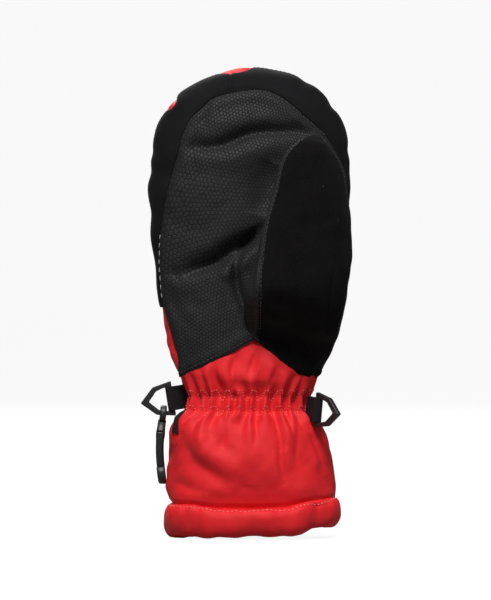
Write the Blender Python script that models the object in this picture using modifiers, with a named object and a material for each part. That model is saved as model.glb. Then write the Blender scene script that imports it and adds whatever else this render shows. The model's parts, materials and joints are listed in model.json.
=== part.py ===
"""A right-hand ski mitten as an assembly of its sewn and moulded pieces.

Run it with: blender --background --python part.py

Frame: +Z points from the cuff's open end to the fingertips, the palm faces -Y and the thumb is on +X.
The sizes below are measured from the centre of the cuff's open end. The finished mitten is then moved,
so that the origin is the centre of the underside of its bounding box.
"""

import math

import bmesh
import bpy
import numpy as np
from mathutils import Matrix, Vector

MM = 0.001

# Driving dimensions, in millimetres
LENGTH = 292.0  # hem to fingertips
DOME_Z = 235.0  # the fingertip dome starts here
WRIST_Z = 95.0  # height of the wrist crease, which the hand section bends about
WRIST_CLEARANCE = 4.6  # from the crease to the fabric on each side of it
GAP = 0.3  # between neighbouring pieces
FABRIC = 1.2  # every outer panel
INSULATION = 5.2
LINER = 1.6
CUFF_PADDING = 2.6
ELASTIC = 1.3
WRIST_GIRTH = 240.0  # around the gathered wrist, roughly
THUMB_INSULATION = 3.6
THUMB_LINER = 1.4
LINING = 1.2
HEM_TOP = 20.2
THREAD = 0.8  # diameter of the sewing thread
WEBBING_WIDTH = 15.0
WEBBING = 1.3  # thickness of one layer of webbing
BORE = 2.3  # radius inside the webbing's loop around the ring's bar
RING_FRAME = 3.2  # width of the ring's frame
RING_THICKNESS = 3.0
RING_BAR = 2.6  # width of the straight bar that the webbing holds
RING_HEIGHT = 22.0
RING_REACH = 19.5  # from the ring's bar to its tip
HOOK_DROP = 44.0  # from the ring's frame to the hook's foot
HOOK_REACH = 6.4  # along the ring's lower side, from its bar
HOOK_HALF_GAP = 5.2  # half the distance between the hook's spine and its gate
HOOK_LEAN = math.radians(3.0)  # the hook's foot hangs clear of the cuff
EYE_RADIUS = 4.2
FAR = 90.0  # a cutter's reach, beyond the mitten on every side

AROUND = 24  # divisions around the hand and the cuff
SUPERELLIPSE = 2.3  # section exponent: a little fuller than an ellipse

# Sections: height, half width, half depth, centre x, centre y
HAND = (
    (99.0, 41.0, 23.0, -3.0, 0.0),
    (112.0, 45.0, 23.5, -2.0, 0.8),
    (127.0, 51.5, 24.5, -2.5, 2.0),
    (150.0, 56.5, 25.0, -2.0, 3.0),
    (185.0, 61.0, 25.5, -1.8, 3.0),
    (212.0, 62.0, 25.5, -2.0, 3.0),
    (235.0, 61.0, 24.5, -1.5, 3.0),
    (292.0, 61.0, 24.5, 2.5, 3.0),
)
CUFF = (
    (20.5, 50.5, 30.0, 0.0, 0.0),
    (38.0, 51.5, 30.0, -1.2, 0.0),
    (56.0, 50.3, 29.0, -2.6, 0.0),
    (66.0, 48.0, 27.0, -2.8, 0.0),
    (74.0, 43.0, 24.5, -2.6, 0.0),
    (82.0, 38.8, 22.2, -2.8, 0.0),
    (91.0, 38.5, 22.0, -3.0, 0.0),
)
# The thumb's back rests just in front of the palm.
THUMB = (
    (105.0, 24.0, 15.0, 22.0, -39.6),
    (118.0, 26.0, 16.0, 24.0, -40.6),
    (131.0, 29.0, 17.0, 25.2, -41.6),
    (145.0, 31.0, 17.0, 26.5, -41.6),
    (172.0, 29.8, 17.0, 31.2, -41.6),
    (193.0, 27.0, 16.5, 34.0, -41.1),
    (212.0, 23.8, 15.5, 35.0, -40.1),
    (233.0, 19.5, 13.5, 36.5, -38.5),
    (250.0, 17.0, 12.0, 42.0, -37.2),
)
THUMB_FOOT_ROUNDING = 26.0  # the height in which the thumb closes at its foot
THUMB_TIP_ROUNDING = 20.0
THUMB_FOOT_SLANT = 0.55  # its foot rises towards the middle of the palm
THUMB_SLANT_HEIGHT = 45.0

# The palm panel's seam, seen from the front (x, z)
PALM_CORNER_OUTER = (-44.0, 99.0)
PALM_APEX = (1.5, 123.0)
PALM_CORNER_THUMB = (39.5, 99.0)
PALM_THUMB_SIDE = ((47.0, 118.0), (53.5, 140.0), (57.8, 170.0), (58.8, 200.0), (57.0, 221.0))
PALM_CROWN = (
    (52.4, 239.0),
    (44.0, 251.0),
    (28.0, 265.0),
    (11.0, 276.5),
    (-7.0, 277.0),
    (-24.0, 272.5),
    (-38.5, 260.0),
    (-46.5, 236.0),
)
PALM_OUTER_SIDE = ((-53.6, 212.0), (-58.0, 185.0), (-57.4, 160.0), (-54.8, 141.0), (-49.3, 118.0))
PALM_LIMIT_Y = -2.0  # the panel stays on the palm side of this plane
BACK_SEAM_Y = 5.0  # the side gusset ends here, just behind the mitten's outline
GUSSET_FOOT = (-6.0, 141.0)  # (y, z) where the gusset narrows to nothing
GUSSET_STEP = 3.0  # the gusset's fabric ends this far below its seam's foot
BACK_SEAM_FORWARD_Y = -21.0  # below the gusset's foot the back panel comes this far forward
BACK_SEAM_STRAIGHT_Z = 192.0  # the back seam is straight above this height
SEAM_ROOT_Z = 90.0  # panel seams are cut from here upwards, below the hand section's foot
THUMB_HOLE = (29.0, 142.0, 13.0, 21.0)  # the way from the hand into the thumb: x, z, half width, half height
THUMB_WAY_Y = (-36.0, -4.0)  # the depths between which that way is cut
THUMB_SEAM = ((-20.0, -53.5), (80.0, -40.0))  # (x, y) of the line between the thumb's two panels, from above


def new_collection(name):
    made = bpy.data.collections.new(name)
    bpy.context.scene.collection.children.link(made)
    return made


for old in list(bpy.data.objects):
    bpy.data.objects.remove(old)
PARTS = new_collection("ski_mitten")
CUTTERS = new_collection("cutters")


def material(name, colour, roughness, metallic=0.0):
    made = bpy.data.materials.new(name)
    made.use_nodes = True
    shader = made.node_tree.nodes["Principled BSDF"]
    shader.inputs["Base Color"].default_value = (*colour, 1.0)
    shader.inputs["Roughness"].default_value = roughness
    shader.inputs["Metallic"].default_value = metallic
    return made


GRIP_LEATHER = material("grip_leather", (0.018, 0.018, 0.018), 0.5)
SOFTSHELL = material("softshell", (0.010, 0.010, 0.012), 0.7)
SUEDE = material("brushed_suede", (0.005, 0.004, 0.005), 0.95)
RED_NYLON = material("red_nylon", (0.62, 0.025, 0.03), 0.6)
WADDING = material("wadding", (0.75, 0.75, 0.73), 0.9)
FLEECE = material("fleece", (0.03, 0.03, 0.033), 0.95)
RUBBER_TAPE = material("elastic_tape", (0.7, 0.7, 0.68), 0.8)
BLACK_WEBBING = material("black_webbing", (0.008, 0.007, 0.008), 0.8)
BLACK_ACETAL = material("black_acetal", (0.012, 0.012, 0.012), 0.4)
RED_THREAD = material("red_thread", (0.75, 0.06, 0.06), 0.5)


def finish(obj, surface, collection=PARTS):
    """Puts obj in its collection and gives it its one material."""
    for home in list(obj.users_collection):
        home.objects.unlink(obj)
    collection.objects.link(obj)
    obj.data.materials.clear()
    obj.data.materials.append(surface)
    if collection is CUTTERS:
        obj.hide_render = True
        obj.display_type = "WIRE"
    return obj


def mesh_object(name, mesh_data, surface, collection=PARTS):
    return finish(bpy.data.objects.new(name, mesh_data), surface, collection)


def column(stations, z, index):
    """One value of the section at height z, on a smooth curve through the stations."""
    heights = [row[0] for row in stations]
    values = [row[index] for row in stations]
    slopes = np.gradient(values, heights)
    at = int(np.clip(np.searchsorted(heights, z) - 1, 0, len(heights) - 2))
    span = heights[at + 1] - heights[at]
    t = min(max((z - heights[at]) / span, 0.0), 1.0)
    rise = values[at + 1] - values[at]
    bend_a = slopes[at] * span - rise
    bend_b = -slopes[at + 1] * span + rise
    return values[at] + t * rise + t * (1 - t) * ((1 - t) * bend_a + t * bend_b)


def on_section(turn, half_width, half_depth, centre_x, centre_y):
    """(x, y) on a superellipse. turn 0 is +X, 0.25 is the back and 0.75 the palm."""
    c, s = math.cos(turn * math.tau), math.sin(turn * math.tau)
    power = 2.0 / SUPERELLIPSE
    x = centre_x + half_width * math.copysign(abs(c) ** power, c)
    y = centre_y + half_depth * math.copysign(abs(s) ** power, s)
    return x, y


def inset_half(stations, z, index, inset):
    """A half width or half depth, made smaller by an inset that is measured square to the sloping wall."""
    slope = (column(stations, z + 1, index) - column(stations, z - 1, index)) / 2
    return column(stations, z, index) - inset * min(math.hypot(1, slope), 1.5)


def wall_point(stations, turn, z, inset):
    """A point of the wall of the hand section or the cuff, inset inwards."""
    half_width, half_depth = inset_half(stations, z, 1, inset), inset_half(stations, z, 2, inset)
    x, y = on_section(turn, half_width, half_depth, column(stations, z, 3), column(stations, z, 4))
    return Vector((x, y, z))


def hand_point(turn, z, inset):
    return wall_point(HAND, turn, z, inset)


def cuff_point(turn, z, inset):
    return wall_point(CUFF, turn, z, inset)


def dome_point(turn, tilt, inset):
    """A point of the fingertip dome. tilt runs from 0 at its foot to 1 at its crown."""
    rise, spread = math.sin(tilt * math.pi / 2), math.cos(tilt * math.pi / 2)
    z = DOME_Z + (LENGTH - DOME_Z - inset) * rise
    half_width = (column(HAND, z, 1) - inset) * spread
    half_depth = (column(HAND, z, 2) - inset) * spread
    x, y = on_section(turn, half_width, half_depth, column(HAND, z, 3), column(HAND, z, 4))
    return Vector((x, y, z))


def closing(distance, rounding):
    """How far open a rounded end is, from 0 at its tip to 1, at this distance from the tip."""
    left = 1.0 - min(distance / rounding, 1.0)
    return math.sqrt(max(1.0 - left * left, 0.0))


def thumb_point(turn, along, inset):
    """A point of the thumb's surface. along runs from 0 at its root to 1 at its tip."""
    low, high = THUMB[0][0] + inset, THUMB[-1][0] - inset
    z = low + (high - low) * (1 - math.cos(along * math.pi)) / 2
    opened = closing(z - low, THUMB_FOOT_ROUNDING - inset) * closing(high - z, THUMB_TIP_ROUNDING - inset)
    half_width = inset_half(THUMB, z, 1, inset) * opened
    half_depth = inset_half(THUMB, z, 2, inset) * opened
    centre_x = column(THUMB, z, 3)
    x, y = on_section(turn, half_width, half_depth, centre_x, column(THUMB, z, 4))
    slant = THUMB_FOOT_SLANT * max(0.0, 1.0 - (z - THUMB[0][0]) / THUMB_SLANT_HEIGHT)
    return Vector((x, y, z - (x - centre_x) * slant))


def sheet(name, point_at, columns, rows, surface, thickness, collection=PARTS):
    """A grid placed by point_at(across, up) and welded where its points meet, with its thickness inwards."""
    made = bmesh.new()
    bmesh.ops.create_grid(made, x_segments=columns, y_segments=rows, size=0.5)
    for vertex in made.verts:
        across = round((vertex.co.x + 0.5) * columns) / columns
        up = round((vertex.co.y + 0.5) * rows) / rows
        vertex.co = point_at(across, up) * MM
    bmesh.ops.remove_doubles(made, verts=made.verts, dist=0.01 * MM)
    bmesh.ops.recalc_face_normals(made, faces=made.faces)
    mesh_data = bpy.data.meshes.new(name)
    made.to_mesh(mesh_data)
    made.free()
    mesh_data.shade_smooth()
    made_object = mesh_object(name, mesh_data, surface, collection)
    shell = made_object.modifiers.new("thickness", "SOLIDIFY")
    shell.thickness = thickness * MM
    shell.offset = -1.0
    return made_object


def hand_layer(name, inset, thickness, low_z, surface):
    """A bag over the hand, from low_z up to the fingertips and open below."""
    straight_rows, dome_rows = 6, 4
    rows = straight_rows + dome_rows
    wall_share = straight_rows / rows

    def point_at(across, up):
        if up <= wall_share:
            z = low_z + (DOME_Z - low_z) * up / wall_share
            return hand_point(across, z, inset)
        return dome_point(across, (up - wall_share) / (1 - wall_share), inset)

    return sheet(name, point_at, AROUND, rows, surface, thickness)


def cuff_layer(name, inset, thickness, low_z, high_z, surface, rows=6):
    """A tube around the wrist and the cuff, open at both ends."""

    def point_at(across, up):
        return cuff_point(across, low_z + (high_z - low_z) * up, inset)

    return sheet(name, point_at, AROUND, rows, surface, thickness)


def thumb_layer(name, inset, thickness, surface):
    """A closed pod over the thumb; the hole into the hand opens it."""

    def point_at(across, up):
        return thumb_point(across, up, inset)

    return sheet(name, point_at, 16, 9, surface, thickness)


def grown(outline, by):
    """The closed outline moved outwards by this much at each corner."""
    points = [Vector(p) for p in outline]
    area = sum(a.x * b.y - b.x * a.y for a, b in zip(points, points[1:] + points[:1]))
    side = 1.0 if area > 0 else -1.0
    moved = []
    for before, here, after in zip(points[-1:] + points[:-1], points, points[1:] + points[:1]):
        first, second = (here - before).normalized(), (after - here).normalized()
        normal = Vector((first.y + second.y, -first.x - second.x)).normalized() * side
        lean = max(abs(normal.dot(Vector((first.y, -first.x)))), 0.4)
        moved.append(here + normal * by / lean)
    return [tuple(p) for p in moved]


def prism(name, outline, low, high, along="Y"):
    """A cutter: an outline in two of the axes, in their order, extruded along the third."""
    axis = "XYZ".index(along)
    points = [[a * MM, b * MM] for a, b in outline]
    step = Vector((0, 0, 0))
    step[axis] = (high - low) * MM
    for point in points:
        point.insert(axis, low * MM)
    made = bmesh.new()
    face = made.faces.new([made.verts.new(p) for p in points])
    top = bmesh.ops.extrude_face_region(made, geom=[face])["geom"]
    bmesh.ops.translate(made, vec=step, verts=[v for v in top if isinstance(v, bmesh.types.BMVert)])
    bmesh.ops.recalc_face_normals(made, faces=made.faces)
    mesh_data = bpy.data.meshes.new(name)
    made.to_mesh(mesh_data)
    made.free()
    return mesh_object(name, mesh_data, WADDING, CUTTERS)


def boolean(obj, cutter, operation="DIFFERENCE"):
    change = obj.modifiers.new(cutter.name, "BOOLEAN")
    change.operation = operation
    change.object = cutter
    return obj


def ellipse_outline(centre_x, centre_z, half_width, half_height, count=20):
    turns = [math.tau * k / count for k in range(count)]
    return [(centre_x + half_width * math.cos(t), centre_z + half_height * math.sin(t)) for t in turns]


# ---------------------------------------------------------------- the hand section
HAND_FOOT = WRIST_Z + WRIST_CLEARANCE


def palm_outline():
    """The palm panel from the front: the V of its heel, then round by way of the fingertips."""
    heel = (PALM_CORNER_OUTER, PALM_APEX, PALM_CORNER_THUMB)
    return heel + PALM_THUMB_SIDE + PALM_CROWN + PALM_OUTER_SIDE


def heel_outline(gap):
    """The red gore below the palm's V."""
    return [
        (PALM_CORNER_OUTER[0] + 2 * gap, SEAM_ROOT_Z),
        (PALM_CORNER_OUTER[0] + 2 * gap, PALM_CORNER_OUTER[1] - gap),
        (PALM_APEX[0], PALM_APEX[1] - gap),
        (PALM_CORNER_THUMB[0] - 2 * gap, PALM_CORNER_THUMB[1] - gap),
        (PALM_CORNER_THUMB[0] - 2 * gap, SEAM_ROOT_Z),
    ]


def back_profile(gap):
    """Seen from the side (y, z): the back panel, whose seam comes forward below the gusset's foot."""
    foot_y, foot_z = GUSSET_FOOT
    seam = BACK_SEAM_Y + gap
    return [
        (FAR, SEAM_ROOT_Z),
        (BACK_SEAM_FORWARD_Y, SEAM_ROOT_Z),
        (BACK_SEAM_FORWARD_Y, foot_z - gap),
        (foot_y, foot_z - gap),
        (seam, BACK_SEAM_STRAIGHT_Z - gap),
        (seam, LENGTH + FAR),
        (FAR, LENGTH + FAR),
    ]


def slab(name, low, high):
    """A cutter as wide and deep as the mitten, from low to high."""
    return prism(name, [(-FAR, -FAR), (FAR, -FAR), (FAR, FAR), (-FAR, FAR)], low, high, "Z")


palm = palm_outline()
palm_cutter = prism("palm_cutter", palm, -FAR, PALM_LIMIT_Y)
palm_clearance = prism("palm_clearance", grown(palm, GAP), -FAR, PALM_LIMIT_Y + GAP)
heel_cutter = prism("heel_cutter", heel_outline(GAP), -FAR, PALM_LIMIT_Y)
heel_clearance = prism("heel_clearance", grown(heel_outline(GAP), GAP), -FAR, PALM_LIMIT_Y + GAP)
back_cutter = prism("back_cutter", back_profile(GAP / 2), -FAR, FAR, "X")
back_clearance = prism("back_clearance", back_profile(-GAP / 2), -FAR, FAR, "X")
below_gusset = slab("below_gusset", HAND_FOOT - 2 * GAP, GUSSET_FOOT[1] - GUSSET_STEP)
thumb_way = prism("thumb_way", ellipse_outline(*THUMB_HOLE), THUMB_WAY_Y[0], THUMB_WAY_Y[1])


def outer_panel(name, surface):
    return hand_layer(name, 0.0, FABRIC, HAND_FOOT, surface)


boolean(boolean(outer_panel("palm_panel", GRIP_LEATHER), palm_cutter, "INTERSECT"), thumb_way)
gusset = boolean(outer_panel("finger_gusset", SOFTSHELL), below_gusset)
boolean(boolean(gusset, palm_clearance), back_clearance)
back_panel = boolean(outer_panel("back_panel", RED_NYLON), back_cutter, "INTERSECT")
boolean(boolean(back_panel, palm_clearance), heel_clearance)
boolean(outer_panel("heel_panel", RED_NYLON), heel_cutter, "INTERSECT")

insulation_inset = FABRIC + 2 * GAP
liner_inset = insulation_inset + INSULATION + 4 * GAP
for layer in (
    hand_layer("hand_insulation", insulation_inset, INSULATION, HAND_FOOT, WADDING),
    hand_layer("hand_liner", liner_inset, LINER, HAND_FOOT, FLEECE),
):
    boolean(layer, thumb_way)

# ---------------------------------------------------------------- the thumb
def thumb_front(name, gap):
    """A cutter for everything of the thumb in front of the seam between its two panels."""
    (start_x, start_y), (end_x, end_y) = THUMB_SEAM
    outline = [(start_x, -FAR), (end_x, -FAR), (end_x, end_y + gap), (start_x, start_y + gap)]
    return prism(name, outline, 0.0, LENGTH, "Z")


thumb_front_half = thumb_front("thumb_front_half", 0.0)
thumb_back_half = thumb_front("thumb_back_half", GAP)
boolean(thumb_layer("thumb_front_panel", 0.0, FABRIC, SUEDE), thumb_front_half, "INTERSECT")
boolean(boolean(thumb_layer("thumb_back_panel", 0.0, FABRIC, GRIP_LEATHER), thumb_back_half), thumb_way)
boolean(thumb_layer("thumb_insulation", FABRIC + 2 * GAP, THUMB_INSULATION, WADDING), thumb_way)
boolean(thumb_layer("thumb_liner", FABRIC + 8 * GAP + THUMB_INSULATION, THUMB_LINER, FLEECE), thumb_way)

# ---------------------------------------------------------------- the cuff
CUFF_HEAD = WRIST_Z - WRIST_CLEARANCE
CUFF_FOOT = HEM_TOP + GAP


def beyond_side_seams(name, near, far):
    """A cutter over the cuff's half between these two depths."""
    return prism(name, [(-FAR, near), (FAR, near), (FAR, far), (-FAR, far)], 0.0, LENGTH, "Z")


behind_seam = beyond_side_seams("behind_seam", GAP / 2, FAR)
ahead_of_seam = beyond_side_seams("ahead_of_seam", -FAR, -GAP / 2)
cuff_front = cuff_layer("cuff_front_panel", 0.0, FABRIC, CUFF_FOOT, CUFF_HEAD, RED_NYLON)
cuff_back = cuff_layer("cuff_back_panel", 0.0, FABRIC, CUFF_FOOT, CUFF_HEAD, RED_NYLON)
boolean(cuff_front, ahead_of_seam, "INTERSECT")
boolean(cuff_back, behind_seam, "INTERSECT")
cuff_inset = FABRIC + GAP
cuff_layer("cuff_padding", cuff_inset, CUFF_PADDING, CUFF_FOOT, 76.0, WADDING)
cuff_layer("wrist_elastic", cuff_inset, ELASTIC, 78.0, CUFF_HEAD, RUBBER_TAPE, rows=2)
cuff_layer("cuff_lining", cuff_inset + CUFF_PADDING + 2 * GAP, LINING, CUFF_FOOT, CUFF_HEAD, FLEECE)


def hem_path(turn):
    """Centre line of the rolled hem, around the cuff."""
    x, y = on_section(turn, 46.5, 26.5, 0.0, 0.0)
    return Vector((x, y, 0.0))


def hem_point(turn, roll, inset):
    """A point of the hem's roll. roll is the turn around its own section, from its outer side upwards."""
    ahead, back = hem_path(turn + 0.004), hem_path(turn - 0.004)
    outward = (ahead - back).normalized().cross(Vector((0, 0, 1)))
    half_width, half_height = 8.3 - inset, HEM_TOP / 2 + 0.6 - inset
    c, s = math.cos(roll * math.tau), math.sin(roll * math.tau)
    low = inset
    z = max(HEM_TOP - inset - half_height + half_height * s, low)
    return hem_path(turn) + outward * half_width * c + Vector((0, 0, z))


def hem_binding():
    """The shell fabric rolled round the filler, open along a slot on its inner side."""

    def point_at(across, up):
        return hem_point(across, -0.42 + 0.84 * up, 0.0)

    return sheet("hem_binding", point_at, AROUND, 8, RED_NYLON, FABRIC)


def hem_filler():
    """The soft roll inside the hem."""
    bpy.ops.mesh.primitive_torus_add(major_segments=AROUND, minor_segments=8)
    filler = bpy.context.object
    filler.name = "hem_filler"
    for vertex in filler.data.vertices:
        turn = math.atan2(vertex.co.y, vertex.co.x) / math.tau
        roll = math.atan2(vertex.co.z, math.hypot(vertex.co.x, vertex.co.y) - 1.0) / math.tau
        vertex.co = hem_point(turn, roll, FABRIC + 5 * GAP) * MM
    filler.data.shade_smooth()
    return finish(filler, WADDING)


hem_binding()
hem_filler()


def tube(name, points, radius, surface, closed=True, sides=0, half_width=0.0):
    """A round or flattened bar along points, as a mesh."""
    line = bpy.data.curves.new(name, "CURVE")
    line.dimensions = "3D"
    line.bevel_depth = radius * MM
    line.bevel_resolution = sides
    line.extrude = half_width * MM
    line.use_fill_caps = True
    spline = line.splines.new("POLY")
    spline.points.add(len(points) - 1)
    for place, point in zip(spline.points, points):
        place.co = (*(Vector(point) * MM), 1.0)
    spline.use_cyclic_u = closed
    made = bpy.data.objects.new(name + "_line", line)
    return as_mesh(made, name, surface)


def as_mesh(curve_object, name, surface, collection=PARTS):
    """The curve object as a welded mesh object; the curve is removed."""
    bpy.context.scene.collection.objects.link(curve_object)
    bpy.context.view_layer.update()
    graph = bpy.context.evaluated_depsgraph_get()
    mesh_data = bpy.data.meshes.new_from_object(curve_object.evaluated_get(graph))
    welded = bmesh.new()
    welded.from_mesh(mesh_data)
    bmesh.ops.remove_doubles(welded, verts=welded.verts, dist=0.01 * MM)
    bmesh.ops.recalc_face_normals(welded, faces=welded.faces)
    welded.to_mesh(mesh_data)
    welded.free()
    mesh_data.name = name
    made = mesh_object(name, mesh_data, surface, collection)
    made.matrix_world = curve_object.matrix_world
    bpy.data.objects.remove(curve_object)
    return made


def stitching(name, height, wave, run, pitch=5.5, closed=False):
    """One thread along part of the cuff's outside, in a wave of this height."""
    length = (run[1] - run[0]) * WRIST_GIRTH
    count = int(length / pitch) * 4
    points = []
    for k in range(count + (not closed)):
        turn = run[0] + (run[1] - run[0]) * k / count
        z = height + wave * math.sin(k / 4 * math.tau)
        points.append(cuff_point(turn, z, -(THREAD / 2 + 1.0)))
    return tube(name, points, THREAD / 2, RED_THREAD, closed)


# The elastic is sewn to each panel before the side seams are closed, so its threads end at the seams.
PALM_SIDE = (0.52, 0.89)
BACK_SIDE = (-0.035, 0.47)
for row, (height, wave) in {"upper": (86.5, 2.4), "lower": (79.5, 2.0)}.items():
    stitching(row + "_elastic_stitching_palm", height, wave, PALM_SIDE)
    stitching(row + "_elastic_stitching_back", height, wave, BACK_SIDE)
stitching("hem_stitching", 22.5, 0.0, (0.0, 1.0), 12.0, closed=True)


# ---------------------------------------------------------------- webbing loops, rings and hook
def placed(name, origin, outward, up):
    """An empty at origin whose X points outward and whose Z points up, as near as it can."""
    x_axis = Vector(outward).normalized()
    z_axis = (Vector(up) - x_axis * x_axis.dot(Vector(up))).normalized()
    y_axis = z_axis.cross(x_axis)
    frame = Matrix((x_axis, y_axis, z_axis)).transposed().to_4x4()
    empty = bpy.data.objects.new(name, None)
    PARTS.objects.link(empty)
    empty.matrix_world = Matrix.Translation(Vector(origin) * MM) @ frame
    return empty


def rod(name, radius, depth, centre, collection=CUTTERS):
    """A round rod along Z, about centre."""
    bpy.ops.mesh.primitive_cylinder_add(vertices=20, radius=radius * MM, depth=depth * MM)
    made = bpy.context.object
    made.name = name
    made.data.transform(Matrix.Translation(Vector(centre) * MM))
    return finish(made, BLACK_WEBBING, collection)


def block(name, size, centre, collection=CUTTERS):
    bpy.ops.mesh.primitive_cube_add(size=1.0)
    made = bpy.context.object
    made.name = name
    scale = Matrix.Diagonal((*(Vector(size) * MM), 1.0))
    made.data.transform(Matrix.Translation(Vector(centre) * MM) @ scale)
    return finish(made, BLACK_WEBBING, collection)


def held(obj, parent):
    obj.parent = parent
    return obj


def webbing_loop(name, seat, tail):
    """Webbing folded round the ring's bar, its two ends sewn together and into the side seam."""
    loop = held(rod(name, BORE + WEBBING, WEBBING_WIDTH, (0, 0, 0), PARTS), seat)
    ends = block(name + "_ends", (tail, 2 * WEBBING, WEBBING_WIDTH), (-BORE - tail / 2, 0, 0))
    bar_space = rod(name + "_bar_space", BORE, WEBBING_WIDTH + 2, (0, 0, 0))
    for cutter in (ends, bar_space):
        held(cutter, seat)
    boolean(boolean(loop, ends, "UNION"), bar_space)
    slot_size = (tail + 1, 2 * (WEBBING + GAP), WEBBING_WIDTH + 2 * GAP)
    return held(block(name + "_slot", slot_size, (-BORE - tail / 2, 0, 0)), seat)


def flat_outline(name, outlines, thickness, surface, edge=0.5):
    """A flat plate in the local XZ plane, with chamfered edges. The outlines after the first are holes."""
    flat = bpy.data.curves.new(name, "CURVE")
    flat.dimensions = "2D"
    flat.fill_mode = "BOTH"
    flat.extrude = (thickness / 2 - edge) * MM
    flat.bevel_depth = edge * MM
    flat.bevel_resolution = 0
    flat.offset = -edge * MM
    for outline in outlines:
        spline = flat.splines.new("POLY")
        spline.points.add(len(outline) - 1)
        for place, (x, z) in zip(spline.points, outline):
            place.co = (x * MM, z * MM, 0.0, 1.0)
        spline.use_cyclic_u = True
    made = as_mesh(bpy.data.objects.new(name + "_flat", flat), name, surface)
    made.data.transform(Matrix.Rotation(math.pi / 2, 4, "X"))
    return made


def ring(name, seat):
    """The five-sided ring: a straight bar inside the webbing, and a frame that runs out to a tip."""
    half, bar = RING_HEIGHT / 2, RING_BAR / 2
    opening = half - RING_FRAME + 0.2
    outer = [(-bar, half), (-bar, -half), (10.6, 2.3 - half), (RING_REACH, 0.0), (10.6, half - 2.3)]
    inner = [(bar, -opening), (4.4, -opening), (9.0, 1.4 - opening), (RING_REACH - 4.4, 0.0)]
    inner += [(x, -z) for x, z in inner[2::-1]]
    return held(flat_outline(name, (outer, inner), RING_THICKNESS, BLACK_ACETAL), seat)


OUTER_BAR = cuff_point(0.49, 86.5, -9.5)
OUTER_DROOP = math.radians(9.0)
THUMB_SIDE_BAR = cuff_point(0.915, 80.0, -8.4)
THUMB_SIDE_DROOP = math.radians(6.7)
THUMB_SIDE_YAW = math.radians(46.0)
outer_outward = (-math.cos(OUTER_DROOP), 0, -math.sin(OUTER_DROOP))
thumb_outward = (math.cos(THUMB_SIDE_YAW), -math.sin(THUMB_SIDE_YAW), -math.sin(THUMB_SIDE_DROOP))
outer_seat = placed("outer_ring_axis", OUTER_BAR, outer_outward, (0, 0, 1))
thumb_side_seat = placed("thumb_side_ring_axis", THUMB_SIDE_BAR, thumb_outward, (0, 0, 1))
slots = (
    webbing_loop("outer_webbing_loop", outer_seat, 9.5),
    webbing_loop("thumb_side_webbing_loop", thumb_side_seat, 7.0),
)
for slot in slots:
    for name in ("cuff_front_panel", "cuff_back_panel", "cuff_padding", "wrist_elastic"):
        boolean(bpy.data.objects[name], slot)
ring("outer_ring", outer_seat)
ring("thumb_side_ring", thumb_side_seat)

bpy.context.view_layer.update()
hook_origin = (outer_seat.matrix_world @ (Vector((HOOK_REACH, 0, -8.55)) * MM)) / MM
hook_outward = (-math.cos(HOOK_LEAN), 0, math.sin(HOOK_LEAN))
hook_seat = placed("hook_axis", hook_origin, hook_outward, (0, 0, 1))


def arc(centre_y, centre_z, radius, start, end, count):
    steps = [math.radians(start + (end - start) * k / count) for k in range(count + 1)]
    return [(centre_y + radius * math.cos(t), centre_z + radius * math.sin(t)) for t in steps]


def hook_bar(name, points, radius, half_width, closed=False):
    """A flattened bar that lies in the hook's plane, wide across it."""
    flat = [(y, z, 0.0) for y, z in points]
    made = tube(name, flat, radius, BLACK_ACETAL, closed, 1, half_width)
    to_plane = Matrix(((0, 0, 1, 0), (1, 0, 0, 0), (0, 1, 0, 0), (0, 0, 0, 1)))
    made.data.transform(to_plane)
    return held(made, hook_seat)


def hook():
    """An eye round the ring, a spine, a rounded foot and a nose that the gate closes on."""
    foot_radius = HOOK_HALF_GAP
    foot_z = -HOOK_DROP + 1.6 + foot_radius
    spine = [(0.0, -EYE_RADIUS - 0.6), (-HOOK_HALF_GAP + 0.6, -10.0), (-HOOK_HALF_GAP, -14.0)]
    foot = arc(0.0, foot_z, foot_radius, 180, 360, 8)
    nose = [(HOOK_HALF_GAP, foot_z + 4.0)]
    body = hook_bar("hook_body", spine + foot + nose, 1.5, 0.8)
    eye = hook_bar("hook_eye", arc(0, 0, EYE_RADIUS, 0, 360 * 15 / 16, 15), 1.1, 0.9, closed=True)
    root = hook_bar("hook_gate_root", [(0.0, -EYE_RADIUS - 0.6), (HOOK_HALF_GAP - 0.5, -11.2)], 1.4, 0.8)
    for piece in (eye, root):
        boolean(body, finish(piece, BLACK_ACETAL, CUTTERS), "UNION")
    gate_top = (HOOK_HALF_GAP - 0.4, -12.5)
    gate_tip = (HOOK_HALF_GAP - 2.9, foot_z + 2.4)
    hook_bar("hook_gate", [gate_top, (HOOK_HALF_GAP - 0.6, -20.0), gate_tip], 1.0, 1.2)


hook()

for obj in PARTS.objects:
    if obj.type == "MESH":
        obj.data.shade_smooth()
        obj.data.set_sharp_from_angle(angle=math.radians(40))


def move_to_row_frame():
    """Moves everything so that the origin is the centre of the underside of the mitten's bounding box."""
    bpy.context.view_layer.update()
    graph = bpy.context.evaluated_depsgraph_get()
    corners = []
    for obj in PARTS.objects:
        if obj.type == "MESH":
            seen = obj.evaluated_get(graph)
            corners += [seen.matrix_world @ vertex.co for vertex in seen.data.vertices]
    low = Vector(min(corner[k] for corner in corners) for k in range(3))
    high = Vector(max(corner[k] for corner in corners) for k in range(3))
    shift = Vector((-(low.x + high.x) / 2, -(low.y + high.y) / 2, -low.z))
    for obj in list(PARTS.objects) + list(CUTTERS.objects):
        if obj.parent is None:
            obj.location += shift


move_to_row_frame()
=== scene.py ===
"""The looks of a right-hand ski mitten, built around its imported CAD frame.

Lengths in this script are in millimetres, measured from the centre of the cuff's open end, along the
frame's own axes: +Z to the fingertips, -Y out of the palm, +X to the thumb. They become metres in the frame's
own place only where a mesh is made. A turn goes once round the mitten from 0 to 1: 0 is the thumb side, 0.25
the back, 0.5 the outer side and 0.75 the palm.
"""

import json
import math

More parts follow.
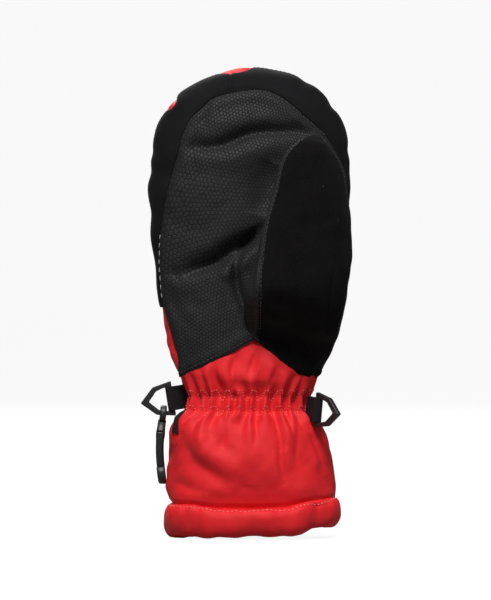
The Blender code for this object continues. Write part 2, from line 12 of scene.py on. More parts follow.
import bmesh
import bpy
import numpy as np
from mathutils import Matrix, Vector


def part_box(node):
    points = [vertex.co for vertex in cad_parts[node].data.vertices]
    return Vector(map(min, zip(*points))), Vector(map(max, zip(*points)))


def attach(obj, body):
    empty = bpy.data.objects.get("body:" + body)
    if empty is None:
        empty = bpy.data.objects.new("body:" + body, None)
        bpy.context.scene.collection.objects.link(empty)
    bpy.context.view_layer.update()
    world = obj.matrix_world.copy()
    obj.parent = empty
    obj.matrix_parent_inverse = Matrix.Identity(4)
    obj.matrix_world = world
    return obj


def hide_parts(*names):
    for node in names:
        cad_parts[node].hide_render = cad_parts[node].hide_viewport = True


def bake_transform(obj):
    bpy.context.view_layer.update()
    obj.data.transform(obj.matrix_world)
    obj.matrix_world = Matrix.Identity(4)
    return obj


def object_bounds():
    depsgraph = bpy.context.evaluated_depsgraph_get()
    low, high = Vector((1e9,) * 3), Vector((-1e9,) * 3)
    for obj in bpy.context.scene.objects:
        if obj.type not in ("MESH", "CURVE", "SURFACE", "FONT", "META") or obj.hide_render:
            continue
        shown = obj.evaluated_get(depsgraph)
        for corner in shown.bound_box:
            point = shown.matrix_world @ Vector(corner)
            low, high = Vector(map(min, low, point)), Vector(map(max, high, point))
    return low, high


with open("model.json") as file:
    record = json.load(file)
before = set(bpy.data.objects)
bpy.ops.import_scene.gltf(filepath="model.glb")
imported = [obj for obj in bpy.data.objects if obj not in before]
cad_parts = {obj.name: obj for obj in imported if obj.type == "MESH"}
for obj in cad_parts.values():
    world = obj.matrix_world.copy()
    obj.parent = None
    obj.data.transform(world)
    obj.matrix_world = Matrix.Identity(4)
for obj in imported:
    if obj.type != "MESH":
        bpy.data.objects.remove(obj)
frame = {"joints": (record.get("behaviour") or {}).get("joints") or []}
CAD_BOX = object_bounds()
MM = 0.001
TAU = math.tau
ROUNDNESS = 2.3  # exponent of the superellipse sections
HEM_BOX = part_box("hem_binding")
OPENING = np.array([HEM_BOX[0][0] + HEM_BOX[1][0], HEM_BOX[0][1] + HEM_BOX[1][1], 0.0]) / 2 / MM
# Fabric turns from the cuff to the hand, and from the hand to the thumb, between these places in metres
BACK_TURN, OUTER_TURN, PALM_TURN = 0.25, 0.5, 0.75
# Thicknesses of the fabrics. The lining's goes outwards, the others' go inwards
LEATHER, SOFTSHELL_CLOTH, NYLON, LINING = 1.1, 1.0, 0.9, -1.2


def in_frame(points):
    """The points in the frame's own place, in metres."""
    return (np.asarray(points, float) + OPENING) * MM


def placed(name, data):
    """A new object in the scene, made from this data."""
    made = bpy.data.objects.new(name, data)
    bpy.context.scene.collection.objects.link(made)
    return made


def stands_for(piece, slot, *nodes):
    """Hides these CAD nodes, which the piece stands in for; the piece and the record's slot are not used."""
    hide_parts(*nodes)


# ---------------------------------------------------------------- numbers
def ease(value, start, end):
    """0 before start, 1 after end and smooth between."""
    t = np.clip((np.asarray(value, float) - start) / (end - start), 0, 1)
    return t * t * (3 - 2 * t)


def bump(value, centre, width):
    """1 at the centre, falling smoothly to 0 beyond the width."""
    return np.exp(-(((np.asarray(value, float) - centre) / width) ** 2))


def powered(value, power):
    """The value's size to this power, with the value's own sign."""
    return np.sign(value) * np.abs(value) ** power


def unit(vectors):
    """The vectors, each made 1 long."""
    return vectors / np.maximum(np.linalg.norm(vectors, axis=-1, keepdims=True), 1e-9)


def running(steps):
    """The distance travelled before each step and after the last."""
    return np.concatenate(([0], np.cumsum(steps)))


def facing_palm(turn):
    """1 in the middle of the palm side, 0 at the mitten's edges and -1 in the middle of its back."""
    return np.cos((np.asarray(turn) - PALM_TURN) * TAU)


def through(stations, at, column):
    """One column of the stations, on a smooth curve through them, at each value of their first column."""
    table = np.array(stations, float)
    keys, values = table[:, 0], table[:, column]
    slopes = np.gradient(values, keys)
    at = np.clip(at, keys[0], keys[-1])
    cell = np.clip(np.searchsorted(keys, at) - 1, 0, len(keys) - 2)
    span = keys[cell + 1] - keys[cell]
    t = (at - keys[cell]) / span
    rise = values[cell + 1] - values[cell]
    before, after = slopes[cell] * span - rise, rise - slopes[cell + 1] * span
    return values[cell] + t * rise + t * (1 - t) * ((1 - t) * before + t * after)


def ripples(points, size, seed, waves=10):
    """Smooth noise, about -1 to 1, whose features are about this size."""
    dice = np.random.default_rng(seed)
    total = np.zeros(points.shape[:-1])
    for _ in range(waves):
        direction = dice.normal(size=3)
        direction *= TAU / (size * dice.uniform(0.75, 1.6)) / np.linalg.norm(direction)
        total += np.sin(points @ direction + dice.uniform(0, TAU))
    return total / math.sqrt(waves)


def level_of(path, x):
    """Height at x of a path of x, z places."""
    return np.interp(x, *np.transpose(path))


def along_path(path, count):
    """The path's points, respaced evenly."""
    path = np.array(path, float)
    steps = np.linalg.norm(np.diff(path, axis=0), axis=1)
    travelled = running(steps)
    wanted = np.linspace(0, travelled[-1], count)
    return np.stack([np.interp(wanted, travelled, path[:, k]) for k in range(path.shape[1])], axis=1)


def rounded_path(path, rounds=2):
    """The open path with its corners cut, twice by default."""
    path = np.array(path, float)
    for _ in range(rounds):
        near, far = path[:-1] * 0.75 + path[1:] * 0.25, path[:-1] * 0.25 + path[1:] * 0.75
        inner = np.stack([near, far], axis=1).reshape(-1, path.shape[1])
        path = np.concatenate([path[:1], inner[1:-1], path[-1:]])
    return path


def distance_to(points, path):
    """Distance from each point to the nearest sample of the path, and that sample's place from 0 to 1."""
    flat = points.reshape(-1, points.shape[-1])
    best = np.full(len(flat), 1e9)
    place = np.zeros(len(flat))
    for k, sample in enumerate(path):
        away = np.linalg.norm(flat - sample, axis=1)
        closer = away < best
        best[closer] = away[closer]
        place[closer] = k / max(len(path) - 1, 1)
    return best.reshape(points.shape[:-1]), place.reshape(points.shape[:-1])


def normals_of(grid, wrap=False):
    """Unit normals of a grid of points; the grid's rows go up and its columns go round."""
    if wrap:
        padded = np.concatenate([grid[:, -2:-1], grid, grid[:, 1:2]], axis=1)
        across = padded[:, 2:] - padded[:, :-2]
    else:
        across = np.gradient(grid, axis=1)
    return unit(np.cross(across, np.gradient(grid, axis=0)))


# ---------------------------------------------------------------- meshes
def surface_piece(name, grid, surface, thickness, cloth=None, wrap=False, keep=None):
    """A fabric panel through the grid's points, given thickness inwards.

    cloth holds each point's place in the flat fabric, in millimetres, which the weave follows. keep says
    which cells stay. With wrap, the last column is the first one again.
    """
    rows, columns = grid.shape[:2]
    stride = columns - 1 if wrap else columns
    points = (grid[:, :stride] if wrap else grid).reshape(-1, 3)
    low, left = np.meshgrid(np.arange(rows - 1), np.arange(columns - 1), indexing="ij")
    right = (left + 1) % stride if wrap else left + 1
    lower, upper = low * stride, (low + 1) * stride
    faces = np.stack([lower + left, lower + right, upper + right, upper + left], axis=-1)
    faces = faces[keep] if keep is not None else faces.reshape(-1, 4)
    mesh = bpy.data.meshes.new(name)
    mesh.from_pydata(in_frame(points).tolist(), [], faces.tolist())
    if cloth is None:
        steps_round = np.linalg.norm(np.diff(grid, axis=1), axis=-1).mean(axis=0)
        steps_up = np.linalg.norm(np.diff(grid, axis=0), axis=-1).mean(axis=1)
        cloth = np.stack(np.meshgrid(running(steps_up), running(steps_round), indexing="ij")[::-1], axis=-1)
    flat = (cloth[:, :stride] if wrap else cloth).reshape(-1, 2)
    layer = mesh.attributes.new("cloth", "FLOAT_VECTOR", "POINT")
    layer.data.foreach_set("vector", np.concatenate([flat, np.zeros((len(flat), 1))], axis=1).ravel())
    made = bmesh.new()
    made.from_mesh(mesh)
    loose = [v for v in made.verts if not v.link_faces]
    bmesh.ops.delete(made, geom=loose, context="VERTS")
    made.to_mesh(mesh)
    made.free()
    mesh.shade_smooth()
    mesh.materials.append(surface)
    piece = placed(name, mesh)
    shell = piece.modifiers.new("thickness", "SOLIDIFY")
    shell.thickness = thickness * MM
    shell.offset = -1.0
    return piece


def between(bottom, top, left, right, rows, columns):
    """A grid of points whose four edges are these paths. Bottom and top go left to right, the sides go up."""
    bottom, top = along_path(bottom, columns), along_path(top, columns)
    left, right = along_path(left, rows), along_path(right, rows)
    u, v = np.meshgrid(np.linspace(0, 1, columns), np.linspace(0, 1, rows))
    u, v = u[..., None], v[..., None]
    ruled_up = (1 - v) * bottom[None] + v * top[None]
    ruled_across = (1 - u) * left[:, None] + u * right[:, None]
    corners = (1 - u) * (1 - v) * bottom[0] + u * (1 - v) * bottom[-1]
    corners = corners + (1 - u) * v * top[0] + u * v * top[-1]
    return ruled_up + ruled_across - corners


def tube_faces(rings, sides, first=0, closed=False):
    """Faces from each ring of points to the next, with a cap at each end unless the tube is closed."""
    faces = []
    for k in range(rings if closed else rings - 1):
        here, after = first + k * sides, first + (k + 1) % rings * sides
        for j in range(sides):
            beside = (j + 1) % sides
            faces.append((here + j, here + beside, after + beside, after + j))
    if not closed:
        last = first + (rings - 1) * sides
        faces.append(tuple(range(first, first + sides))[::-1])
        faces.append(tuple(range(last, last + sides)))
    return faces


def swept(name, centres, sides, radius_a, radius_b, surface, closed, up, sharp):
    """A bar along the centres, whose section is a superellipse.

    radius_a is half the section's size across up, and radius_b is half its size along up.
    """
    if closed:
        ahead, behind = np.roll(centres, -1, axis=0), np.roll(centres, 1, axis=0)
    else:
        ahead = np.concatenate([centres[1:], centres[-1:]])
        behind = np.concatenate([centres[:1], centres[:-1]])
    forward = unit(ahead - behind)
    side = unit(np.cross(forward, np.array(up, float)))
    top = np.cross(side, forward)
    turn = np.arange(sides) / sides * TAU
    c, s = np.cos(turn), np.sin(turn)
    power = 2.0 / sharp
    count = len(centres)
    wide = np.outer(np.broadcast_to(radius_a, count), powered(c, power))
    high = np.outer(np.broadcast_to(radius_b, count), powered(s, power))
    rings = centres[:, None] + side[:, None] * wide[..., None] + top[:, None] * high[..., None]
    return mesh_piece(name, rings.reshape(-1, 3), tube_faces(count, sides, closed=closed), surface)


def mesh_piece(name, points, faces, surface):
    """A closed piece from its points and faces."""
    mesh = bpy.data.meshes.new(name)
    mesh.from_pydata(in_frame(points).tolist(), [], faces)
    made = bmesh.new()
    made.from_mesh(mesh)
    bmesh.ops.recalc_face_normals(made, faces=made.faces)
    made.to_mesh(mesh)
    made.free()
    mesh.shade_smooth()
    mesh.materials.append(surface)
    return placed(name, mesh)


def joined(name, pieces):
    """Several pieces as one."""
    whole = bmesh.new()
    for piece in pieces:
        whole.from_mesh(piece.data)
    surface = pieces[0].data.materials[0]
    for piece in pieces:
        bpy.data.objects.remove(piece)
    mesh = bpy.data.meshes.new(name)
    whole.to_mesh(mesh)
    whole.free()
    mesh.materials.append(surface)
    mesh.shade_smooth()
    return placed(name, mesh)


# Along one stitch: its height over the fabric and its width, both in radii
STITCH_RISE = np.array([-0.84, 0.18, 0.42, 0.18, -0.84])
STITCH_WIDTH = np.array([0.55, 1.0, 1.05, 1.0, 0.55])


def stitches(name, path, outward, surface, length=2.1, gap=0.7, radius=0.35):
    """Separate stitches along a path. Each rises out of the fabric, runs along it and goes back in."""
    path, outward = np.array(path, float), np.array(outward, float)
    total = np.linalg.norm(np.diff(path, axis=0), axis=1).sum()
    count = max(int(total / (length + gap)), 1)
    sides, steps = 6, 6
    fine = along_path(np.concatenate([path, outward], axis=1), count * steps + 1)
    turn = np.arange(sides) / sides * TAU
    points, faces = [], []
    share = length / (length + gap)
    for k in range(count):
        spots = (k + np.linspace(0.5 - share / 2, 0.5 + share / 2, len(STITCH_RISE))) * steps
        whole = np.clip(spots.astype(int), 0, len(fine) - 2)
        part = (spots - whole)[:, None]
        centre = fine[whole, :3] * (1 - part) + fine[whole + 1, :3] * part
        lift = unit(fine[whole, 3:] * (1 - part) + fine[whole + 1, 3:] * part)
        centre = centre + lift * STITCH_RISE[:, None] * radius
        side = np.cross(unit(np.gradient(centre, axis=0)), lift)
        spokes = side[:, None] * np.cos(turn)[None, :, None] + lift[:, None] * np.sin(turn)[None, :, None]
        rings = centre[:, None] + spokes * (radius * STITCH_WIDTH)[:, None, None]
        faces += tube_faces(len(rings), sides, first=k * len(rings) * sides)
        points.append(rings.reshape(-1, 3))
    return mesh_piece(name, np.concatenate(points), faces, surface)


# ---------------------------------------------------------------- materials
class Nodes:
    """A short way to write a node material."""

    def __init__(self, name):
        self.material = bpy.data.materials.new(name)
        self.material.use_nodes = True
        self.tree = self.material.node_tree
        self.shader = self.tree.nodes["Principled BSDF"]

    def add(self, kind, **values):
        """A node, whose inputs or settings take these values."""
        node = self.tree.nodes.new("ShaderNode" + kind)
        for key, value in values.items():
            if key in node.inputs:
                self.put(node.inputs[key], value)
            else:
                setattr(node, key, value)
        return node

    def put(self, socket, value):
        if isinstance(value, bpy.types.NodeSocket):
            self.tree.links.new(value, socket)
        else:
            socket.default_value = value

    def place(self):
        """The point's place on the object, in millimetres."""
        node = self.add("VectorMath", operation="SCALE")
        self.put(node.inputs[0], self.add("TexCoord").outputs["Object"])
        self.put(node.inputs["Scale"], 1 / MM)
        return node.outputs["Vector"]

    def cloth(self):
        """The point's place in the flat fabric, in millimetres."""
        return self.add("Attribute", attribute_name="cloth").outputs["Vector"]

    def math(self, operation, a, b):
        node = self.add("Math", operation=operation)
        self.put(node.inputs[0], a)
        self.put(node.inputs[1], b)
        return node.outputs[0]

    def vector(self, operation, a, b, c=(0.0, 0.0, 0.0)):
        node = self.add("VectorMath", operation=operation)
        for socket, given in zip(node.inputs, (a, b, c)):
            self.put(socket, given)
        return node.outputs["Value" if operation == "DOT_PRODUCT" else "Vector"]

    def hexagons(self, cell):
        """Distance inwards from the edge of a hexagon, 0 to 0.5. One hexagon is 1 wide."""
        tile, half = (1.0, math.sqrt(3.0), 1.0), (0.5, math.sqrt(3.0) / 2, 0.5)
        well_positive = (900.0, 900.0 * tile[1], 0.0)
        cell = self.vector("MULTIPLY", self.vector("ADD", cell, well_positive), (1.0, 1.0, 0.0))
        one = self.vector("SUBTRACT", self.vector("MODULO", cell, tile), half)
        other = self.vector("SUBTRACT", self.vector("MODULO", self.vector("ADD", cell, half), tile), half)
        distances = []
        for corner in (one, other):
            spot = self.vector("MULTIPLY", self.vector("ABSOLUTE", corner, half), (1.0, 1.0, 0.0))
            slanted = self.vector("DOT_PRODUCT", spot, (0.5, math.sqrt(3.0) / 2, 0.0))
            straight = self.vector("DOT_PRODUCT", spot, (1.0, 0.0, 0.0))
            distances.append(self.math("MAXIMUM", slanted, straight))
        return self.math("SUBTRACT", 0.5, self.math("MINIMUM", *distances))

    def noise(self, vector, size, detail=3.0, roughness=0.55):
        node = self.add("TexNoise", Vector=vector, Scale=1.0 / size, Detail=detail, Roughness=roughness)
        return node.outputs["Fac"]

    def wave(self, vector, scale, distortion, **values):
        node = self.add("TexWave", Vector=vector, Scale=scale, Distortion=distortion, **values)
        return node.outputs["Fac"]

    def stretched(self, vector, *scale):
        return self.add("Mapping", Vector=vector, Scale=scale).outputs[0]

    def range(self, value, low, high, out_low, out_high):
        node = self.add("MapRange")
        for socket, given in zip(node.inputs, (value, low, high, out_low, out_high)):
            self.put(socket, given)
        return node.outputs[0]

    def mix(self, share, a, b):
        """Colour a, giving way to colour b as the share goes from 0 to 1."""
        node = self.add("Mix", data_type="RGBA")
        self.put(node.inputs[0], share)
        self.put(node.inputs[6], a)
        self.put(node.inputs[7], b)
        return node.outputs[2]

    def bump(self, height, distance, strength=1.0, under=None):
        node = self.add("Bump", Height=height, Distance=distance * MM, Strength=strength)
        if under is not None:
            self.put(node.inputs["Normal"], under)
        return node.outputs["Normal"]

    def finish(self, **values):
        """The material, once its shader's inputs have these values."""
        for key, value in values.items():
            self.put(self.shader.inputs[key.replace("_", " ")], value)
        return self.material


def rgb(red, green, blue):
    """A colour from its 0 to 255 display values."""
    shares = (red / 255, green / 255, blue / 255)
    linear = [share / 12.92 if share <= 0.04045 else ((share + 0.055) / 1.055) ** 2.4 for share in shares]
    return (*linear, 1.0)


def grip_leather():
    """Embossed synthetic leather: many-sided raised pads with narrow grooves."""
    n = Nodes("grip_leather")
    place = n.place()
    wander = n.add("TexNoise", Vector=n.cloth(), Scale=0.5, Detail=1.0).outputs["Color"]
    moved = n.vector("MULTIPLY_ADD", wander, (0.8, 0.8, 0.0), n.cloth())
    pads = n.range(n.hexagons(moved), 0.02, 0.17, 0.0, 1.0)
    fine = n.noise(place, 0.35, 4.0)
    height = n.math("ADD", pads, n.math("MULTIPLY", fine, 0.25))
    worn = n.noise(place, 28.0, 2.0)
    pad_colour = n.mix(worn, rgb(29, 29, 30), rgb(36, 36, 37))
    # The grooves are painted near black against the pads' grey: painted shade in the recesses.
    colour = n.mix(pads, rgb(14, 14, 15), pad_colour)
    rough = n.math("ADD", n.range(pads, 0.0, 1.0, 0.78, 0.58), n.math("MULTIPLY", fine, 0.1))
    return n.finish(Base_Color=colour, Roughness=rough, Specular_IOR_Level=0.26, Normal=n.bump(height, 0.22))


def softshell():
    """Smooth stretch fabric with a faint knit."""
    n = Nodes("softshell")
    cloth, place = n.cloth(), n.place()
    knit = n.wave(cloth, 0.55, 0.6)
    nap = n.noise(place, 0.5, 4.0)
    tone = n.noise(place, 22.0, 2.0)
    colour = n.mix(tone, rgb(10, 9, 11), rgb(17, 16, 18))
    height = n.math("ADD", n.math("MULTIPLY", knit, 0.3), nap)
    return n.finish(
        Base_Color=colour,
        Roughness=n.range(nap, 0.3, 0.7, 0.72, 0.88),
        Specular_IOR_Level=0.13,
        Sheen_Weight=0.02,
        Sheen_Roughness=0.5,
        Normal=n.bump(height, 0.06),
    )


def suede():
    """Brushed synthetic suede: short nap lying in soft patches."""
    n = Nodes("brushed_suede")
    place = n.place()
    lying = n.stretched(place, 1.0, 1.0, 0.45)
    nap = n.noise(lying, 0.7, 5.0, 0.65)
    brushed = n.noise(lying, 9.0, 3.0)
    colour = n.mix(brushed, rgb(9, 8, 8), rgb(16, 14, 14))
    colour = n.mix(n.range(nap, 0.55, 0.75, 0.0, 0.7), colour, rgb(30, 28, 28))
    lint = n.add("TexVoronoi", Vector=n.stretched(place, 1.0, 1.0, 0.6), Scale=1 / 11.0).outputs["Distance"]
    colour = n.mix(n.range(lint, 0.015, 0.04, 0.45, 0.0), colour, rgb(74, 71, 68))
    return n.finish(
        Base_Color=colour,
        Roughness=0.95,
        Specular_IOR_Level=0.06,
        Sheen_Weight=0.02,
        Sheen_Roughness=0.6,
        Normal=n.bump(nap, 0.18),
    )


def red_nylon():
    """Fine plain weave with a slight sheen and the faint slubs of its yarns."""
    n = Nodes("red_nylon")
    cloth, place = n.cloth(), n.place()
    warp = n.wave(cloth, 0.72, 0.4, Detail=1.0)
    weft = n.wave(cloth, 0.72, 0.4, Detail=1.0, bands_direction="Y")
    weave = n.math("MULTIPLY", warp, weft)
    slub = n.noise(n.stretched(cloth, 0.06, 1.6, 1.0), 1.0, 3.0)
    tone = n.noise(place, 18.0, 2.0)
    colour = n.mix(tone, rgb(217, 26, 33), rgb(228, 34, 41))
    colour = n.mix(n.range(slub, 0.35, 0.75, 0.0, 0.25), colour, rgb(186, 16, 24))
    # Where warp and weft cross, the colour is lifted towards a light red: a painted highlight on the raised
    # yarns.
    colour = n.mix(n.math("MULTIPLY", weave, 0.1), colour, rgb(242, 72, 74))
    crinkle = n.noise(place, 3.2, 4.0, 0.6)
    under = n.bump(crinkle, 0.18, 0.5)
    return n.finish(
        Base_Color=colour,
        Roughness=n.range(weave, 0.0, 1.0, 0.66, 0.5),
        Specular_IOR_Level=0.26,
        Sheen_Weight=0.07,
        Sheen_Roughness=0.4,
        Sheen_Tint=rgb(255, 150, 140),
        Normal=n.bump(n.math("ADD", weave, n.math("MULTIPLY", slub, 0.5)), 0.05, 0.8, under),
    )


def webbing():
    """Woven tape with ribs along it."""
    n = Nodes("black_webbing")
    cloth = n.cloth()
    ribs = n.wave(cloth, 0.42, 0.3, bands_direction="Y")
    picks = n.wave(cloth, 0.75, 0.5)
    height = n.math("ADD", ribs, n.math("MULTIPLY", picks, 0.4))
    # The colour follows the ribs' height, lighter on their tops and darker in the hollows: painted light and
    # shade on the ribs.
    colour = n.mix(height, rgb(11, 9, 11), rgb(29, 26, 29))
    return n.finish(Base_Color=colour, Roughness=0.85, Specular_IOR_Level=0.25, Normal=n.bump(height, 0.2))


def acetal():
    """Moulded black plastic with a satin face, a few scuffs and a painted highlight along its convex edges."""
    n = Nodes("black_acetal")
    place = n.place()
    texture = n.noise(place, 0.4, 3.0)
    scuff = n.range(n.noise(n.stretched(place, 1.0, 1.0, 0.12), 0.9, 5.0), 0.62, 0.72, 0.0, 1.0)
    # Convex edges, found by their pointiness, are painted lighter: a painted highlight along them.
    edge = n.range(n.add("NewGeometry").outputs["Pointiness"], 0.52, 0.6, 0.0, 0.35)
    colour = n.mix(n.math("MAXIMUM", n.math("MULTIPLY", scuff, 0.3), edge), rgb(24, 24, 25), rgb(70, 70, 72))
    rough = n.math("ADD", n.range(texture, 0.3, 0.7, 0.42, 0.54), n.math("MULTIPLY", scuff, 0.2))
    return n.finish(Base_Color=colour, Roughness=rough, Normal=n.bump(texture, 0.03))


def thread(name, colour, light):
    """Twisted sewing thread, whose twist is striped with a painted highlight."""
    n = Nodes(name)
    twist = n.wave(n.place(), 1.4, 0.5, bands_direction="DIAGONAL")
    return n.finish(
        # The twist's stripes go from the thread's colour to a painted highlight.
        Base_Color=n.mix(twist, colour, light),
        Roughness=0.5,
        Sheen_Weight=0.2,
        Normal=n.bump(twist, 0.08),
    )


def fleece():
    """Brushed knit lining."""
    n = Nodes("fleece")
    place = n.place()
    pile = n.noise(place, 1.1, 5.0, 0.7)
    tufts = n.add("TexVoronoi", Vector=place, Scale=1 / 2.4).outputs["Distance"]
    colour = n.mix(pile, rgb(30, 30, 32), rgb(60, 60, 63))
    height = n.math("SUBTRACT", pile, n.math("MULTIPLY", tufts, 0.4))
    return n.finish(
        Base_Color=colour,
        Roughness=0.95,
        Specular_IOR_Level=0.1,
        Sheen_Weight=0.35,
        Normal=n.bump(height, 0.6),
    )


GRIP = grip_leather()
SOFTSHELL = softshell()
SUEDE = suede()
RED = red_nylon()
WEBBING = webbing()
ACETAL = acetal()
FLEECE = fleece()
# Each thread's second colour is a painted highlight along its twist.
RED_THREAD = thread("red_thread", rgb(214, 70, 72), rgb(250, 150, 146))
BLACK_THREAD = thread("black_thread", rgb(16, 16, 17), rgb(42, 42, 43))
# Pale thread standing in for glints on the palm's outer seam: real stitches, painted glints.
GLINT_PAINTED_THREAD = thread("glint_painted_thread", rgb(120, 118, 114), rgb(225, 222, 216))

# ---------------------------------------------------------------- the body of the mitten
# Sections from the hem's seam to the dome's foot: height, outer side x, thumb side x, palm y, back y
BODY = (
    (18.0, -50.0, 50.6, -29.0, 30.0),
    (29.0, -51.6, 50.6, -30.5, 30.8),
    (37.0, -51.8, 50.3, -30.5, 30.8),
    (52.0, -52.2, 48.2, -29.6, 30.0),
    (60.0, -52.9, 46.6, -28.2, 29.0),
    (67.0, -52.2, 44.6, -26.6, 27.2),
    (73.0, -49.2, 40.8, -24.4, 25.2),
    (79.0, -43.2, 36.4, -22.6, 23.2),
    (85.0, -41.2, 34.8, -21.9, 22.4),
    (91.0, -41.4, 36.2, -22.0, 22.6),
    (97.0, -43.6, 38.0, -22.6, 23.4),
    (104.0, -46.6, 40.6, -23.2, 24.6),
    (111.0, -49.4, 44.0, -23.6, 25.4),
    (118.0, -52.2, 47.0, -23.8, 26.2),
    (126.0, -54.6, 50.4, -23.8, 27.0),
    (141.0, -55.9, 54.6, -23.8, 27.8),
    (156.0, -58.2, 57.2, -23.2, 28.4),
    (171.0, -60.0, 58.4, -23.0, 28.6),
    (186.0, -61.8, 59.2, -22.8, 28.6),
    (201.0, -62.4, 59.2, -22.6, 28.4),
    (211.0, -63.9, 59.0, -22.4, 28.2),
    (219.0, -63.4, 59.1, -22.2, 28.0),
    (227.0, -61.6, 59.2, -21.9, 27.8),
    (235.0, -62.4, 59.4, -21.6, 27.6),
)
DOME_Z = BODY[-1][0]
TOP_Z = CAD_BOX[1][2] / MM
CROWN = DOME_Z + 90  # the crown's height, once heights count degrees of tilt
NEAR_CROWN = 89.9  # degrees of tilt: the skins end just short of the crown
CROWN_SHIFT = (3.6, 4.5)  # the crown leans to the thumb side and to the back, x and y


def section(turn, outer_width, thumb_width, front, back):
    """Offsets from the centre on a superellipse, each of whose four sides has its own size."""
    c, s = np.cos(turn * TAU), np.sin(turn * TAU)
    power = 2.0 / ROUNDNESS
    width = np.where(c < 0, outer_width, thumb_width)
    depth = np.where(s < 0, front, back)
    return width * powered(c, power), depth * powered(s, power)


def dome_tilt(z):
    """How far up the dome a height is, as an angle: 0 at its foot and a quarter turn at the crown."""
    return np.arcsin(np.clip((z - DOME_Z) / (TOP_Z - DOME_Z), 0, 1))


def body_frame(z, tilt):
    """The section at this height and tilt of the dome: its centre, and its size to each of four sides."""
    left, right, front, back = (through(BODY, z, k) for k in (1, 2, 3, 4))
    centre_x = (left + right) / 2 + CROWN_SHIFT[0] * np.sin(tilt) ** 2
    centre_y = 2.0 + CROWN_SHIFT[1] * np.sin(tilt) ** 3
    half = (right - left) / 2
    outer, thumb_side, deep = np.cos(tilt) ** 0.9, np.cos(tilt) ** 1.0, np.cos(tilt) ** 0.8
    front_depth, back_depth = (centre_y - front) * deep, (back - centre_y) * deep
    return centre_x, centre_y, half * outer, half * thumb_side, front_depth, back_depth


def body_at(turn, height):
    """Points of the mitten's body. Above the dome's foot, height counts degrees of tilt."""
    turn, height = np.broadcast_arrays(np.asarray(turn, float), np.asarray(height, float))
    tilt = np.radians(np.clip(height - DOME_Z, 0, 90))
    z = np.where(height < DOME_Z, height, DOME_Z + (TOP_Z - DOME_Z) * np.sin(tilt))
    centre_x, centre_y, *sizes = body_frame(z, tilt)
    dx, dy = section(turn, *sizes)
    return np.stack([centre_x + dx, centre_y + dy, z], axis=-1)


def on_body(x, z):
    """The turn and height of the palm side's point that is seen at (x, z) from the front."""
    tilt = dome_tilt(z)
    centre_x, _, outer_width, thumb_width, _, _ = body_frame(z, tilt)
    half_width = np.where(x < centre_x, outer_width, thumb_width)
    c = np.clip((x - centre_x) / np.maximum(half_width, 1e-6), -1, 1)
    angle = np.arccos(powered(c, ROUNDNESS / 2))
    height = np.where(z < DOME_Z, z, DOME_Z + np.degrees(tilt))
    return 1 - angle / TAU, height


# Seams of the palm from the front: x, z
APEX = (1.2, 123.4)
PALM_LEFT = (
    (-44.2, 100.4), (-45.9, 112.4), (-48.6, 123.3), (-54.4, 141.0), (-57.3, 160.0),
    (-58.0, 185.0), (-53.6, 212.0), (-46.8, 235.6), (-43.6, 247.0),
)
PALM_TOP = (
    (-43.6, 247.0), (-38.8, 260.2), (-30.6, 266.8), (-24.5, 273.2), (-13.3, 276.0), (0.9, 278.4),
    (10.9, 277.0), (20.2, 271.8), (28.2, 264.8), (37.5, 256.8), (44.3, 251.0),
)
PALM_RIGHT = (
    (36.8, 101.6), (45.0, 118.0), (52.0, 141.0), (56.6, 171.0),
    (57.6, 200.0), (56.6, 221.0), (52.4, 239.0), (44.3, 251.0),
)
PALM_BOTTOM = (
    (-44.2, 100.4), (-28.0, 107.8), (-11.0, 116.4), APEX,
    (12.0, 115.0), (24.0, 106.4), (36.8, 101.6),
)
LEFT_RIM, TOP_RIM, RIGHT_RIM = (rounded_path(path) for path in (PALM_LEFT, PALM_TOP, PALM_RIGHT))
GUSSET_FOOT_Z = 139.0
GUSSET_FOOT_SLANT = 5.0  # how much higher the foot is at the back's seam
FOLD_SAMPLES = 60  # along each fold's path


def creased(x, z, folds):
    """Depth of folds. Each is a path, a depth, and its widths across it on its lower and upper sides."""
    spots = np.stack([x, z], axis=-1)
    depth = np.zeros(np.shape(x))
    for path, amount, below, above in folds:
        samples = along_path(rounded_path(path), FOLD_SAMPLES)
        away, place = distance_to(spots, samples)
        nearest = samples[(place * (FOLD_SAMPLES - 1)).round().astype(int)]
        width = np.where(z < nearest[..., 1], below, above)
        taper = np.sin(np.clip(place, 0.03, 0.97) * math.pi) ** 0.5
        depth += amount * taper * np.exp(-((away / width) ** 2))
    return depth


# Folds of the palm: path (x, z), depth, widths across it on its lower and upper sides
PALM_FOLDS = (
    (((-43, 243), (-29, 242), (-16, 244), (-7, 249), (4, 252), (19, 252), (36, 253)), -5.2, 3.0, 4.6),
    (((-38, 233), (-14, 233), (4, 241), (24, 243)), 2.2, 8.0, 4.6),
    (((-30, 254), (-8, 259), (16, 262)), 1.2, 5.0, 6.0),
    (((-26, 272), (-28, 264), (-32, 257)), -2.6, 1.7, 2.6),
    (((9, 190), (3, 186), (-8, 182), (-16, 175.5), (-23, 171), (-35, 167), (-46, 163)), -8.6, 3.8, 6.2),
    (((-2, 175), (-12, 168), (-20, 160)), 2.6, 5.0, 4.5),
    (((4, 192), (-3, 184), (-9, 175), (-11, 166), (-9, 153), (-4, 141), (-1, 130)), -5.8, 3.0, 3.0),
    (((16, 232), (8, 216), (4, 199)), -5.4, 10.0, 10.0),
    (((-46, 215), (-30, 219), (-14, 216)), 1.6, 14.0, 8.0),
    (((-52, 152), (-40, 146), (-24, 143)), -1.2, 5.0, 5.0),
    (((-52, 150), (-44, 138), (-36, 128)), -0.9, 3.0, 4.0),
    (((-24, 152), (-26, 136), (-32, 118)), 1.2, 7.0, 7.0),
    (((-50, 196), (-34, 190), (-24, 192)), -0.8, 4.0, 6.0),
)

GRAIN_CENTRE = (-92.0, 205.0)  # the emboss is coarsest towards here
GRAIN_POWER = 1.55  # how fast it gets finer
GRAIN_PITCH = 4.1  # of the hexagons at the palm's outer edge
GRAIN_PITCH_AT = 34.0  # that edge's distance from the centre


